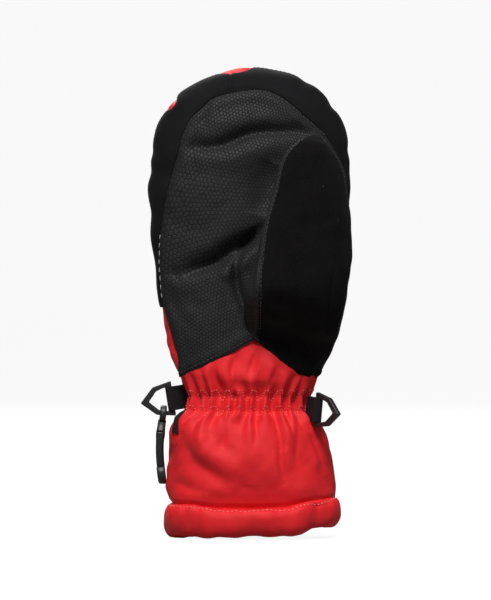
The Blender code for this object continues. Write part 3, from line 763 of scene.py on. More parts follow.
def graded_grain(base):
    """Places in the emboss, counted in hexagons, whose size shrinks away from the grain's centre."""
    steps = np.linalg.norm(np.diff(base, axis=1), axis=-1)
    arc = np.concatenate([np.zeros((len(base), 1)), np.cumsum(steps, axis=1)], axis=1)
    middle = base.shape[1] // 2
    across = arc - arc[:, middle : middle + 1] + base[:, middle : middle + 1, 0]
    away = (across - GRAIN_CENTRE[0]) + 1j * (base[..., 2] - GRAIN_CENTRE[1])
    scale = 1 / (GRAIN_PITCH * GRAIN_POWER * GRAIN_PITCH_AT ** (GRAIN_POWER - 1))
    graded = away**GRAIN_POWER * scale
    return np.stack([graded.real, graded.imag], axis=-1)


# Inner edge of the thumb's base: x, z
THUMB_FOOT = ((1.5, 100.0), (1.5, 123.4), (-3.5, 133.0), (-6.0, 142.0))
THUMB_FOOT_SLOPE = 0.63  # how steeply the base's lower edge falls towards the thumb side


def under_thumb(x, z):
    """1 where the thumb's base is sewn over the palm, 0 elsewhere."""
    foot_x, foot_z = np.transpose(THUMB_FOOT)
    inner = np.interp(z, foot_z, foot_x)
    above = z - (APEX[1] - THUMB_FOOT_SLOPE * (x - APEX[0]))
    return ease(x - inner, 0.5, 4.0) * (1 - ease(above, 10, 20))


def palm_panel():
    """The embossed palm, with the folds that a half-closed hand leaves in it."""
    front = between(PALM_BOTTOM, TOP_RIM, LEFT_RIM, RIGHT_RIM, rows=230, columns=150)
    x, z = front[..., 0], front[..., 1]
    turn, height = on_body(x, z)
    base = body_at(turn, height)
    edge = np.concatenate([base[0], base[-1], base[:, 0], base[:, -1]])
    away, _ = distance_to(base, edge[::2])
    lift = 1.3 + creased(x, z, PALM_FOLDS) * ease(away, 0, 9)
    lift += ripples(base, 24, 3) * 0.45 * ease(away, 0, 12) + ripples(base, 9, 4) * 0.12
    lift += 0.8 * bump(away, 5.0, 3.0) - 0.9 * (1 - ease(away, -0.6, 2.4))
    lift += gathered(turn, height) - 4.6 * under_thumb(x, z)
    grid = base + normals_of(base) * lift[..., None]
    piece = surface_piece("palm_panel_skin", grid, GRIP, LEATHER, cloth=graded_grain(base))
    stands_for(piece, "grip_leather", "palm_panel")
    return piece, grid


# Where the back's red shows past the gusset from the front: x and z of the dip's lowest place, reach, width
RED_PEEKS = ((-51.0, 269.5, 6.0, 1.3), (-11.0, 290.0, 9.5, 2.1))


def peeking(points):
    """1 where the back's red shows past the gusset, 0 elsewhere."""
    x, z = points[..., 0], points[..., 2]
    return sum(bump(np.hypot(x - px, z - pz), 0.0, reach) for px, pz, reach, _ in RED_PEEKS)


# Small dents in the outline of the fingers' edge: x, z
EDGE_DENTS = ((31.7, 282.4), (48.8, 268.5), (58.6, 240.8), (-61.5, 239.8))
DENT_DEPTH, DENT_REACH = 1.2, 4.6


def dented(points):
    """Depth of the dents in the outline."""
    x, z = points[..., 0], points[..., 2]
    return sum(DENT_DEPTH * bump(np.hypot(x - dx, z - dz), 0.0, DENT_REACH) for dx, dz in EDGE_DENTS)


def on_map(turn, height):
    """Places on a flat map round the crown, whose distance from its middle is the height left to the crown."""
    away = CROWN - height
    return np.stack([away * np.cos(turn * TAU), away * np.sin(turn * TAU)], axis=-1)


def off_map(places):
    """Turn and height of places on the map. The thumb side's turns are near 1."""
    turn = np.arctan2(places[..., 1], places[..., 0]) / TAU % 1.0
    return np.where(turn < BACK_TURN, turn + 1, turn), CROWN - np.hypot(places[..., 0], places[..., 1])


def back_seam(share):
    """Turn and height of the seam between gusset and back.

    It goes up the outer side, over the crown and down the thumb side as share goes from 0 to 1.
    """
    rising = np.where(share < 0.5, share * 2, 2 - share * 2)
    foot = GUSSET_FOOT_Z + GUSSET_FOOT_SLANT
    height = foot + (CROWN - foot) * rising
    wander = 0.0012 * np.sin(height * 0.13) + 0.0007 * np.sin(height * 0.31)
    turn = np.where(share < 0.5, 0.489, 1.01) + wander
    edge = body_at(np.where(share < 0.5, OUTER_TURN, 0.0), height)
    away = [np.hypot(edge[..., 0] - x, edge[..., 2] - z) for x, z, _, _ in RED_PEEKS]
    dip = sum(depth * bump(far, 0.0, reach) for far, (_, _, reach, depth) in zip(away, RED_PEEKS))
    inwards = unit(np.stack([CROWN_SHIFT[0] - edge[..., 0], DOME_Z - edge[..., 2]], axis=-1))
    seen = on_map(*on_body(edge[..., 0] + inwards[..., 0] * dip, edge[..., 2] + inwards[..., 1] * dip))
    unseen = on_map(turn, height)
    return off_map(unseen + (seen - unseen) * ease(dip, 0.1, 1.0)[..., None])


def gusset():
    """The band round the fingers' edge, from the palm's seam to the back's seam."""
    rim = np.concatenate([LEFT_RIM[:-1], TOP_RIM[:-1], RIGHT_RIM[::-1]])
    rim = along_path(rim[rim[:, 1] > GUSSET_FOOT_Z], 520)
    share = np.linspace(0, 1, len(rim))
    palm_turn, palm_height = on_body(rim[:, 0], rim[:, 1])
    back_turn, back_height = back_seam(share)
    steps = np.linspace(0, 1, 26)[:, None]
    near, far = on_map(palm_turn, palm_height), on_map(back_turn, back_height)
    map_turn, map_height = off_map(near + (far - near) * steps[..., None])
    over_crown = ease(palm_height, DOME_Z - 25, DOME_Z + 15)
    turn = palm_turn + (back_turn - palm_turn) * steps
    height = palm_height + (back_height - palm_height) * steps
    turn = turn + (map_turn - turn) * over_crown
    height = height + (map_height - height) * over_crown
    base = body_at(turn, height)
    width = np.linalg.norm(base[-1] - base[0], axis=-1)[None]
    across = np.minimum(steps, 1 - steps) * width
    lift = 1.1 + ripples(base, 17, 11) * 0.3 + ripples(base, 30, 12) * 0.5 * ease(across, 0, 4)
    lift += 0.9 * ease(across, 0, 3.5) - 0.5
    lift -= 0.9 * bump(base[..., 0], -13.8, 1.1) * (base[..., 2] > 262)
    lift -= 0.8 * (1 - ease(base[..., 2], GUSSET_FOOT_Z, GUSSET_FOOT_Z + 9)) + dented(base)
    grid = base + normals_of(base) * lift[..., None]
    piece = surface_piece("finger_gusset_skin", grid, SOFTSHELL, SOFTSHELL_CLOTH)
    stands_for(piece, "softshell", "finger_gusset")
    return piece, grid


# ---------------------------------------------------------------- the red shell
# The seam between cuff and hem along the front: x, z
HEM_SEAM = (
    (-56.0, 21.4), (-50.0, 21.0), (-38.0, 21.2), (-24.0, 19.2),
    (0.0, 18.6), (22.0, 19.8), (33.0, 23.0), (56.0, 25.6),
)
BACK_HEM_SEAM_Z = 21.0
HEM_TUCK = 2.0  # how far the cuff's edge goes down into the roll
PLEATS = 25  # ridges of gathered fabric around the wrist
ELASTIC_LOW_Z, ELASTIC_HIGH_Z = 79.4, 88.6
ELASTIC_Z = (ELASTIC_LOW_Z + ELASTIC_HIGH_Z) / 2

# Soft folds of the front: path (x, z), depth, widths across it on its lower and upper sides
RED_FOLDS = (
    (((-32, 22), (-8, 20), (12, 20), (34, 25)), -4.6, 9.0, 13.0),
    (((-26, 101), (-11, 100), (6, 100), (22, 97)), 2.4, 4.5, 8.0),
    (((-2, 117), (6, 112), (14, 106), (24, 100)), 2.8, 6.0, 8.0),
    (((-47, 68), (-43, 56), (-36, 46), (-22, 38), (-10, 34)), -3.8, 8.5, 5.4),
    (((-36, 66), (-26, 52), (-14, 46)), 2.2, 6.0, 6.0),
    (((15, 76), (18, 62), (17, 50), (20, 36)), -2.4, 2.4, 3.0),
    (((27, 74), (28, 62), (27, 50)), -1.3, 2.4, 2.4),
    (((33, 74), (39, 62), (44, 50), (46, 38)), -2.6, 2.6, 3.4),
    (((46, 32), (40, 42), (33, 50)), -1.6, 4.0, 4.0),
    (((-50, 36), (-40, 31), (-30, 30)), -1.4, 3.0, 4.0),
    (((-18, 76), (-17, 66), (-20, 56)), -1.4, 2.2, 2.4),
    (((0, 76), (2, 66), (0, 56)), -1.1, 2.0, 2.2),
    (((4, 120), (0, 108), (-3, 97)), -2.0, 2.4, 2.4),
    (((-24, 106), (-22, 98), (-17, 92)), -1.8, 2.2, 2.4),
    (((16, 110), (12, 100), (8, 93)), -1.8, 2.4, 2.4),
    (((-9, 116), (-13, 106), (-12, 95)), -1.7, 2.2, 2.4),
    (((30, 104), (24, 98), (20, 92)), -1.5, 2.2, 2.4),
)
# Folds across the back of the hand and down the back of the cuff, in the same form
BACK_FOLDS = (
    (((-58, 226), (-30, 217), (0, 220), (26, 214), (46, 219)), -2.0, 3.2, 7.0),
    (((-40, 207), (-10, 209), (22, 204)), 1.2, 7.0, 5.0),
    (((56, 190), (34, 181), (8, 184), (-18, 177), (-40, 182)), -1.8, 3.0, 6.5),
    (((-58, 150), (-36, 143), (-8, 147), (20, 139), (50, 146)), -2.1, 3.2, 7.5),
    (((30, 132), (4, 130), (-24, 134)), 1.3, 6.0, 5.0),
    (((-18, 262), (6, 258), (30, 262)), -1.1, 3.0, 6.0),
    (((-30, 124), (-26, 112), (-22, 98)), -2.0, 2.6, 2.6),
    (((6, 128), (4, 112), (8, 98)), -2.2, 2.6, 2.6),
    (((32, 122), (28, 110), (22, 97)), -1.9, 2.6, 2.6),
    (((-38, 70), (-30, 54), (-14, 42), (4, 38)), -2.6, 4.4, 5.0),
    (((36, 72), (34, 58), (26, 44), (14, 36)), -2.2, 3.6, 4.4),
    (((0, 74), (4, 62), (0, 50)), -1.6, 2.4, 2.4),
)


def hem_front(turn):
    """1 along the hem's front, 0 along its back."""
    return ease(facing_palm(turn), -0.15, 0.25)


def hem_seam_z(turn):
    """Height of the seam between the cuff and its rolled hem."""
    front = level_of(HEM_SEAM, body_at(turn, 20.0)[..., 0])
    return BACK_HEM_SEAM_Z + (front - BACK_HEM_SEAM_Z) * hem_front(turn)


WRIST_TURNS = np.linspace(0, 1, 721)
WRIST_STEPS = np.linalg.norm(np.diff(body_at(WRIST_TURNS, ELASTIC_Z), axis=0), axis=1)
WRIST_ARC = running(WRIST_STEPS) / WRIST_STEPS.sum()


def round_wrist(turn):
    """How far round the wrist a turn is, as a share of its girth."""
    return np.floor(turn) + np.interp(np.asarray(turn) % 1.0, WRIST_TURNS, WRIST_ARC)


def pleat_lift(turn, z):
    """The gathers: separate ridges that the elastic draws together, each fading at its own height."""
    dice = np.random.default_rng(5)
    share = round_wrist(turn)
    lift = np.zeros(np.shape(turn))
    for k in range(PLEATS):
        spot = (k + dice.uniform(-0.2, 0.2)) / PLEATS
        width = dice.uniform(0.25, 0.36) / PLEATS
        height = dice.uniform(3.2, 5.0) * (1 - 0.4 * bump(spot, 0.5, 0.04))  # flatter under the outer loop
        reach_up, reach_down = dice.uniform(7, 19), dice.uniform(6, 26)
        lean_up, lean_down = dice.uniform(-0.5, 0.5, 2) / PLEATS
        above = np.clip((z - ELASTIC_HIGH_Z) / reach_up, 0, None)
        below = np.clip((ELASTIC_LOW_Z - z) / reach_down, 0, None)
        centre = spot + lean_up * above + lean_down * below
        spread = width * (1 + 0.75 * above + 0.9 * below)
        away = np.abs((share - centre + 0.5) % 1.0 - 0.5)
        ridge = height * np.exp(-((away / spread) ** 2)) * np.exp(-1.1 * (above**2 + below**2))
        lift = np.maximum(lift, ridge)
    return lift


def stitch_squeeze(z):
    """The two rows of stitching pull the fabric in."""
    return 0.9 * bump(z, ELASTIC_LOW_Z, 2.0) + 0.9 * bump(z, ELASTIC_HIGH_Z, 2.2)


def gathered(turn, z):
    """All that the elastic does to the fabric around the wrist."""
    creases = ripples(body_at(turn, z) * (1, 1, 0.3), 4.2, 23) * 0.5 * bump(z, ELASTIC_Z, 9)
    return pleat_lift(turn, z) - stitch_squeeze(z) - 2.6 * bump(z, ELASTIC_Z, 13) + creases


def red_lift(turn, height, base):
    """How far the red shell stands off the mitten's body."""
    x, z = base[..., 0], base[..., 2]
    seam = hem_seam_z(turn)
    front = ease(facing_palm(turn), -0.1, 0.3) * (height < DOME_Z)
    back = ease(-facing_palm(turn), 0.0, 0.45)
    soft = ease(z, 22, 34) * (0.3 + 0.7 * ease(np.abs(z - ELASTIC_Z), 6, 26))
    from_back = np.abs((turn - BACK_TURN + 0.5) % 1.0 - 0.5)
    soft *= 1 - ease(z, 128, 138) * ease(from_back, 0.17, 0.225)
    lift = gathered(turn, z) + creased(x, z, RED_FOLDS) * front + creased(x, z, BACK_FOLDS) * back
    lift += (ripples(base * (1, 1, 0.55), 21, 21) * 0.9 + ripples(base, 9, 22) * 0.2) * soft
    lift += 1.6 * bump(z, seam + 8, 9) * (1 - front)
    lift += 1.4 * peeking(base) - dented(base)
    return lift - 1.5 * (1 - ease(z, seam - 0.5, seam + 3.5)) - tucked_under(base, turn)


def red_at(turn, height):
    """Points of the red shell's surface."""
    turn, height = np.broadcast_arrays(np.asarray(turn, float), np.asarray(height, float))
    base = body_at(turn, height)
    outward = outward_of_body(turn, height)
    return base + outward * red_lift(turn, height, base)[..., None]


def outward_of_body(turn, height):
    """Unit vectors straight out of the mitten's body."""
    step_turn, step_up = 0.002, 0.4
    up = np.minimum(height + step_up, DOME_Z + NEAR_CROWN)
    across = body_at(turn + step_turn, height) - body_at(turn - step_turn, height)
    rise = body_at(turn, up) - body_at(turn, up - 2 * step_up)
    return unit(np.cross(across, rise))


def covered_by_palm(points, turn):
    """Which points lie well inside the palm or the gusset, where the red shell has been cut away."""
    x, z = points[..., 0], points[..., 2]
    outline = along_path(np.concatenate([LEFT_RIM, TOP_RIM, RIGHT_RIM[::-1], PALM_BOTTOM[::-1]]), 200)
    inside = np.zeros(x.shape, bool)
    for (ax, az), (bx, bz) in zip(outline[:-1], outline[1:]):
        crosses = (az > z) != (bz > z)
        inside ^= crosses & (x < ax + (z - az) / (bz - az + 1e-12) * (bx - ax))
    spots = np.stack([x, z], axis=-1)
    away, _ = distance_to(spots, outline)
    front = (turn > OUTER_TURN) & (turn < 1.0)
    deep_in_palm = front & inside & (away > 4.0)
    under_gusset = (turn > 0.535) & (turn < 0.975) & (z > GUSSET_FOOT_Z + 8) & (z < DOME_Z + 18)
    return deep_in_palm | under_gusset


def tucked_under(base, turn):
    """How far the red shell sinks where the gusset and the palm lie over it, above the gusset's foot."""
    front = ease(facing_palm(turn), -0.02, 0.14)
    return 2.2 * front * ease(base[..., 2], GUSSET_FOOT_Z + 2, GUSSET_FOOT_Z + 10) * (1 - peeking(base))


def red_shell():
    """Cuff, heel gore and back: one red surface from the hem's seam to the fingertips."""
    columns, cuff_rows, hand_rows, dome_rows = 433, 116, 56, 44
    turn = np.linspace(0, 1, columns)[None]
    start, hand_z = hem_seam_z(turn) - HEM_TUCK, 128.0
    low = start + (hand_z - start) * np.linspace(0, 1, cuff_rows)[:, None]
    middle = np.linspace(hand_z, DOME_Z, hand_rows)[1:, None] + 0 * turn
    high = DOME_Z + np.linspace(0, NEAR_CROWN, dome_rows)[1:, None] + 0 * turn
    height = np.concatenate([low, middle, high])
    turns = np.broadcast_to(turn, height.shape)
    grid = red_at(turns, height)
    hidden = covered_by_palm(body_at(turns, height), turns)
    keep = ~(hidden[:-1, :-1] & hidden[1:, :-1] & hidden[:-1, 1:] & hidden[1:, 1:])
    piece = surface_piece("red_shell_skin", grid, RED, NYLON, wrap=True, keep=keep)
    shells = ("heel_panel", "back_panel", "cuff_front_panel", "cuff_back_panel")
    stands_for(piece, "red_nylon", *shells, "cuff_padding", "wrist_elastic", "hand_insulation")
    return piece


# ---------------------------------------------------------------- the rolled hem
# Underside of the hem along the front: x, z
HEM_UNDERSIDE = (
    (-56.0, 2.0), (-50.0, 0.4), (-38.0, 2.6), (0.0, 2.2),
    (30.0, 3.4), (37.0, 6.2), (50.0, 6.8), (56.0, 8.0),
)
HEM_REACH = 6.4  # how far the roll stands out from the seam
HEM_INNER_REACH = 9.0


def hem_roll():
    """The hem: shell fabric rolled round a soft filler and gathered a little by its seam."""
    columns, rows = 361, 44
    turn = np.linspace(0, 1, columns)[None]
    outward = unit(outward_of_body(turn, hem_seam_z(turn)) * (1, 1, 0))
    seam = body_at(turn, hem_seam_z(turn)) - outward * 1.5
    front = hem_front(turn)
    bottom = level_of(HEM_UNDERSIDE, seam[..., 0]) * (front + (1 - front) * ease(seam[..., 0], -4, 44))
    top = hem_seam_z(turn) + 0.4
    half_height = (top - bottom) / 2
    roll = np.linspace(0.34, -0.62, rows)[:, None]
    c, s = np.cos(roll * TAU), np.sin(roll * TAU)
    reach = np.where(c > 0, HEM_REACH, HEM_INNER_REACH)
    belly = 1.0 + 0.12 * np.sin(turn * TAU * 4 + 1.0) + 0.05 * np.sin(turn * TAU * 9)
    out = reach * belly * powered(c, 0.8) * np.where(c > 0, 1 + 0.2 * s, 1.0) - 1.0
    z = (top + bottom) / 2 + half_height * powered(s, 0.85) + 0 * turn
    places = seam + outward * out[..., None]
    places = np.stack([places[..., 0], places[..., 1], z], axis=-1)
    fade = ease(np.abs(roll - 0.25), 0.02, 0.12) * (roll < 0.25)
    pucker = np.sin(turn * TAU * 33 + 1.4 * np.sin(turn * TAU * 4)) * 0.3 * bump(roll, 0.16, 0.09)
    lift = pucker + (ripples(places, 24, 31) * 0.9 + ripples(places, 9, 32) * 0.16) * fade
    grid = places + normals_of(places, wrap=True) * lift[..., None]
    grid[..., 2] = np.maximum(grid[..., 2], 0.05)
    piece = surface_piece("hem_roll_skin", grid[::-1], RED, NYLON, wrap=True)
    stands_for(piece, "red_nylon", "hem_binding", "hem_filler")
    return piece, grid


def lining():
    """The fleece inside, from the hem's roll up to the fingertips."""
    turn = np.linspace(0, 1, 161)[None]
    height = np.concatenate([np.linspace(9.0, DOME_Z, 70), DOME_Z + np.linspace(4, NEAR_CROWN, 16)])[:, None]
    turns, heights = np.broadcast_arrays(turn, height)
    base = body_at(turns, heights)
    under_palm = ease(heights, 118, 140)
    above_hem = ease(heights, 9, 16) * (1 - ease(heights, 36, 50))
    in_front = ease(facing_palm(turns), 0.0, 0.5) * np.maximum(under_palm, above_hem)
    inset = 6.4 + 5.0 * in_front + ripples(base, 18, 41) * 0.9 + ripples(base, 7, 42) * 0.3
    grid = base - outward_of_body(turns, heights) * inset[..., None]
    piece = surface_piece("lining_skin", grid, FLEECE, LINING, wrap=True)
    stands_for(piece, "fleece", "cuff_lining", "hand_liner", "thumb_liner")
    return piece


# ---------------------------------------------------------------- the thumb
# Cross sections from its seam with the palm to its tip: number; left edge x, z; right edge x, z; middle y;
# depths in front of and behind the middle
THUMB = (
    (0.0, 1.5, 123.4, 38.0, 100.4, -22.0, 1.5, 0.5),
    (1.0, -3.5, 133.0, 46.4, 113.0, -24.5, 5.5, 3.0),
    (2.0, -6.0, 142.0, 53.2, 130.0, -31.5, 13.5, 9.0),
    (3.0, -4.0, 155.0, 57.0, 152.0, -38.0, 19.0, 13.0),
    (4.0, 1.5, 172.0, 59.2, 172.0, -39.0, 19.0, 14.0),
    (5.0, 7.0, 193.0, 59.6, 193.0, -39.0, 18.0, 13.0),
    (6.0, 12.0, 212.0, 57.4, 212.0, -38.5, 17.0, 12.5),
    (7.0, 17.5, 231.0, 54.4, 229.0, -37.5, 14.5, 11.0),
    (8.0, 25.0, 241.4, 49.6, 239.4, -37.0, 12.0, 9.8),
    (8.6, 31.0, 246.2, 45.8, 244.8, -36.5, 8.4, 7.0),
    (9.0, 37.6, 248.6, 41.6, 248.2, -36.0, 0.8, 0.8),
)
THUMB_END = THUMB[-1][0]
# Turn of the seam between its front and its back on the palm's side, by section
THUMB_SEAM = (
    (0.0, 0.575), (1.0, 0.632), (2.0, 0.64), (3.0, 0.626),
    (4.0, 0.588), (5.0, 0.57), (7.0, 0.575), (9.0, 0.58),
)
THUMB_SEAM_RIGHT = 0.972  # and of the seam on its other side
THUMB_HEEL_SAG = 4.8  # its seam with the red gore sags below a straight line
THUMB_GIRTH = 128.0
THUMB_GRAIN_PITCH = 1.9  # of the emboss's hexagons


def thumb_at(turn, along):
    """Points of the thumb. Near its seam with the palm it lies on the hand."""
    turn, along = np.broadcast_arrays(np.asarray(turn, float), np.asarray(along, float))
    sizes = (through(THUMB, along, k) for k in range(1, 8))
    left_x, left_z, right_x, right_z, middle_y, front, back = sizes
    c, s = np.cos(turn * TAU), np.sin(turn * TAU)
    across = powered(c, 0.9)
    depth = np.where(s < 0, front, back) * powered(s, 0.95)
    x = (left_x + right_x) / 2 + (right_x - left_x) / 2 * across
    z = (left_z + right_z) / 2 + (right_z - left_z) / 2 * across
    sag = np.sin(((across + 1) / 2) ** 1.35 * math.pi) * (s < 0) * (1 - ease(along, 0, 1.6))
    z = z - THUMB_HEEL_SAG * sag
    free = np.stack([x, middle_y + depth, z], axis=-1)
    on_turn, on_height = on_body(x, z)
    lift = (1.8 - 4.3 * ease(s, -0.02, 0.3) - 0.7 * ease(x, 28, 38))[..., None]
    lift = lift + gathered(on_turn, on_height)[..., None]
    flat = body_at(on_turn, on_height) + outward_of_body(on_turn, on_height) * lift
    share = ease(along, 0.0, 2.2)[..., None]
    return flat * (1 - share) + free * share


# Folds of the thumb, in the form of the palm's
THUMB_FOLDS = (
    (((52, 190), (50, 172), (47, 150), (45, 130)), -1.5, 1.2, 1.2),
    (((20, 128), (30, 132), (42, 134)), -0.8, 5.0, 7.0),
    (((6, 150), (18, 146), (30, 148)), -0.6, 5.0, 6.0),
    (((30, 240), (40, 236), (50, 228)), -0.5, 4.0, 6.0),
)


def thumb_skin(name, front, columns, surface, seam_rise):
    """The front or the back of the thumb, from one seam to the other, which it swells beside."""
    rows = 210
    along = THUMB_END * (1 - np.cos(np.linspace(0.02, 1, rows) * math.pi / 2) ** 1.25)[:, None]
    seam_turn = through(THUMB_SEAM, along, 1)
    if front:
        heel_overlap = 0.018 * (1 - ease(along, 0.3, 1.0))  # the front's corner is tucked under the back's
        start, end = seam_turn, THUMB_SEAM_RIGHT + heel_overlap
    else:
        start, end = THUMB_SEAM_RIGHT - 1 + 0 * along, seam_turn
    turns = start + (end - start) * np.linspace(0, 1, columns)[None]
    alongs = along + 0 * turns
    base = thumb_at(turns, alongs)
    edge = np.minimum(turns - start, end - turns) * THUMB_GIRTH
    lift = (ripples(base, 26, 51) * 0.7 + ripples(base, 10, 52) * 0.14) * ease(alongs, 0.2, 1.6)
    facing = (np.sin(turns * TAU) < 0) * ease(alongs, 0.3, 1.5)
    lift += creased(base[..., 0], base[..., 2], THUMB_FOLDS) * facing
    lift += seam_rise * bump(edge, 2.2, 1.5) - 0.8 * (1 - ease(edge, -0.4, 1.6))
    heel_side = (1 - ease(np.abs(turns - THUMB_SEAM_RIGHT), 0.0, 0.035)) * (1 - ease(alongs, 0.4, 1.2))
    lift -= 1.1 * (1 - ease(alongs, 0.0, 0.14)) + 0.7 * heel_side
    grid = base + normals_of(base) * lift[..., None]
    cloth = np.stack([turns * THUMB_GIRTH, base[..., 2]], axis=-1) / THUMB_GRAIN_PITCH
    return surface_piece(name, grid, surface, LEATHER, cloth=cloth), grid


# ---------------------------------------------------------------- webbing, rings and hook
WEBBING_WIDTH, WEBBING_THICKNESS = 15.0, 1.3
LOOP_RADIUS = 2.3 + WEBBING_THICKNESS / 2  # of the webbing's middle, around the ring's bar
RING_THICKNESS = 3.0
# Outline of a ring and of its opening, outward and across from the bar's middle
RING_OUTER = ((-1.3, 11.0), (-1.3, -11.0), (10.6, -8.7), (19.5, 0.0), (10.6, 8.7))
RING_INNER = ((1.5, -7.2), (4.4, -7.2), (8.8, -5.8), (14.2, 0.0), (8.8, 5.8), (4.4, 7.2), (1.5, 7.2))
OUTER_DROOP, THUMB_SIDE_DROOP, THUMB_SIDE_YAW = math.radians(9.0), math.radians(6.7), math.radians(46.0)
HOOK_LEAN = math.radians(3.0)
HOOK_LENGTH, HOOK_BOW, HOOK_RETURN = 42.0, 1.7, 1.6  # its bar bows outwards and comes back at the foot
EYE_RADIUS, FOOT_RADIUS, FOOT_Z = 4.2, 5.2, -37.2
OUTER_DIRECTION = (-math.cos(OUTER_DROOP), 0.0, -math.sin(OUTER_DROOP))
THUMB_SIDE_DIRECTION = (math.cos(THUMB_SIDE_YAW), -math.sin(THUMB_SIDE_YAW), -math.sin(THUMB_SIDE_DROOP))
HOOK_DIRECTION = (-math.cos(HOOK_LEAN), 0.0, math.sin(HOOK_LEAN))
JOINT_AT = {joint["name"]: np.array(joint["pos_m"]) / MM - OPENING for joint in frame["joints"]}


def circle_part(centre_x, centre_y, radius, start, end, count):
    """Points on a circle, from one angle to another in degrees."""
    angles = np.radians(np.linspace(start, end, count))
    return np.stack([centre_x + radius * np.cos(angles), centre_y + radius * np.sin(angles)], axis=1)


def seated(joint, outward, points):
    """Points given in a joint's own axes, X outward and Z up, as places on the mitten."""
    x_axis = np.array(outward) / np.linalg.norm(outward)
    z_axis = np.array((0.0, 0.0, 1.0)) - x_axis * x_axis[2]
    z_axis /= np.linalg.norm(z_axis)
    axes = np.stack([x_axis, np.cross(z_axis, x_axis), z_axis])
    return JOINT_AT[joint] + np.asarray(points, float) @ axes


def rounded_outline(corners, radius, steps=5):
    """A closed outline with each corner rounded."""
    corners = np.array(corners, float)
    t = np.linspace(0, 1, steps)[:, None]
    points = []
    for before, here, after in zip(np.roll(corners, 1, axis=0), corners, np.roll(corners, -1, axis=0)):
        start = here + (before - here) / np.linalg.norm(before - here) * radius
        end = here + (after - here) / np.linalg.norm(after - here) * radius
        points.append(start * (1 - t) ** 2 + here * 2 * t * (1 - t) + end * t**2)
    return np.concatenate(points)


def moulded_plate(outlines, thickness, edge):
    """Points and faces of a flat plate with rounded edges. The outlines after the first are its holes."""
    flat = bpy.data.curves.new("plate", "CURVE")
    flat.dimensions = "2D"
    flat.fill_mode = "BOTH"
    flat.extrude = thickness / 2 - edge
    flat.bevel_depth = edge
    flat.bevel_resolution = 3
    flat.offset = -edge
    for outline in outlines:
        spline = flat.splines.new("POLY")
        spline.points.add(len(outline) - 1)
        for spot, (x, z) in zip(spline.points, outline):
            spot.co = (x, z, 0.0, 1.0)
        spline.use_cyclic_u = True
    holder = placed("plate", flat)
    graph = bpy.context.evaluated_depsgraph_get()
    mesh = bpy.data.meshes.new_from_object(holder.evaluated_get(graph))
    bpy.data.objects.remove(holder)
    welded = bmesh.new()
    welded.from_mesh(mesh)
    bmesh.ops.remove_doubles(welded, verts=welded.verts, dist=0.001)
    welded.verts.index_update()
    points = np.array([(v.co.x, -v.co.z, v.co.y) for v in welded.verts])
    faces = [tuple(v.index for v in face.verts) for face in welded.faces]
    welded.free()
    return points, faces


def ring(node, joint, outward):
    """The five-sided ring: a straight bar for the webbing and a frame that runs out to a tip."""
    outlines = (rounded_outline(RING_OUTER, 0.9), rounded_outline(RING_INNER[::-1], 0.7))
    points, faces = moulded_plate(outlines, RING_THICKNESS, 0.55)
    piece = mesh_piece(node + "_moulding", seated(joint, outward, points), faces, ACETAL)
    piece.data.set_sharp_from_angle(angle=math.radians(35))
    stands_for(piece, "black_acetal", node)
    return piece


def strap(name, path, joint, outward):
    """Webbing along a path in the joint's X and Y."""
    path = along_path(path, 60)
    across = np.linspace(-0.5, 0.5, 25)[:, None] * WEBBING_WIDTH
    run = np.linspace(0, np.linalg.norm(np.diff(path, axis=0), axis=1).sum(), len(path))[None]
    x, y, z = np.broadcast_arrays(path[:, 0], path[:, 1], across)
    grid = seated(joint, outward, np.stack([x, y, z], axis=-1))
    cloth = np.stack(np.broadcast_arrays(run, z), axis=-1)
    return surface_piece(name, grid, WEBBING, WEBBING_THICKNESS, cloth=cloth)


def webbing_loop(node, joint, outward, tail):
    """Webbing folded round the ring's bar; both ends run into the mitten's side."""
    bend = circle_part(0, 0, LOOP_RADIUS, -104.4, 104.4, 21)
    half_gap = 0.5 + WEBBING_THICKNESS / 2  # from the tape's middle to the plane between its two layers
    pinch_x, end_x = -LOOP_RADIUS - 1.6, -tail - 2.0
    start = [(end_x, -half_gap), (pinch_x, -half_gap)]
    end = [(pinch_x, half_gap), (end_x, half_gap)]
    path = rounded_path(np.concatenate([start, bend, end]))
    piece = strap(node + "_tape", path, joint, outward)
    stands_for(piece, "black_webbing", node)
    return piece


def hook_bar(name, path, half_thickness, half_width, closed=False):
    """A moulded bar in the hook's own plane, given as y and z."""
    path = np.array(path, float)
    fall = np.clip(-path[:, 1] / HOOK_LENGTH, 0, 1)
    bow = HOOK_BOW * np.sin(fall * math.pi) - HOOK_RETURN * fall**2
    points = np.stack([bow, path[:, 0], path[:, 1]], axis=1)
    places = seated("hook_swing", HOOK_DIRECTION, points)
    return swept(name, places, 20, half_thickness, half_width, ACETAL, closed, HOOK_DIRECTION, 2.9)


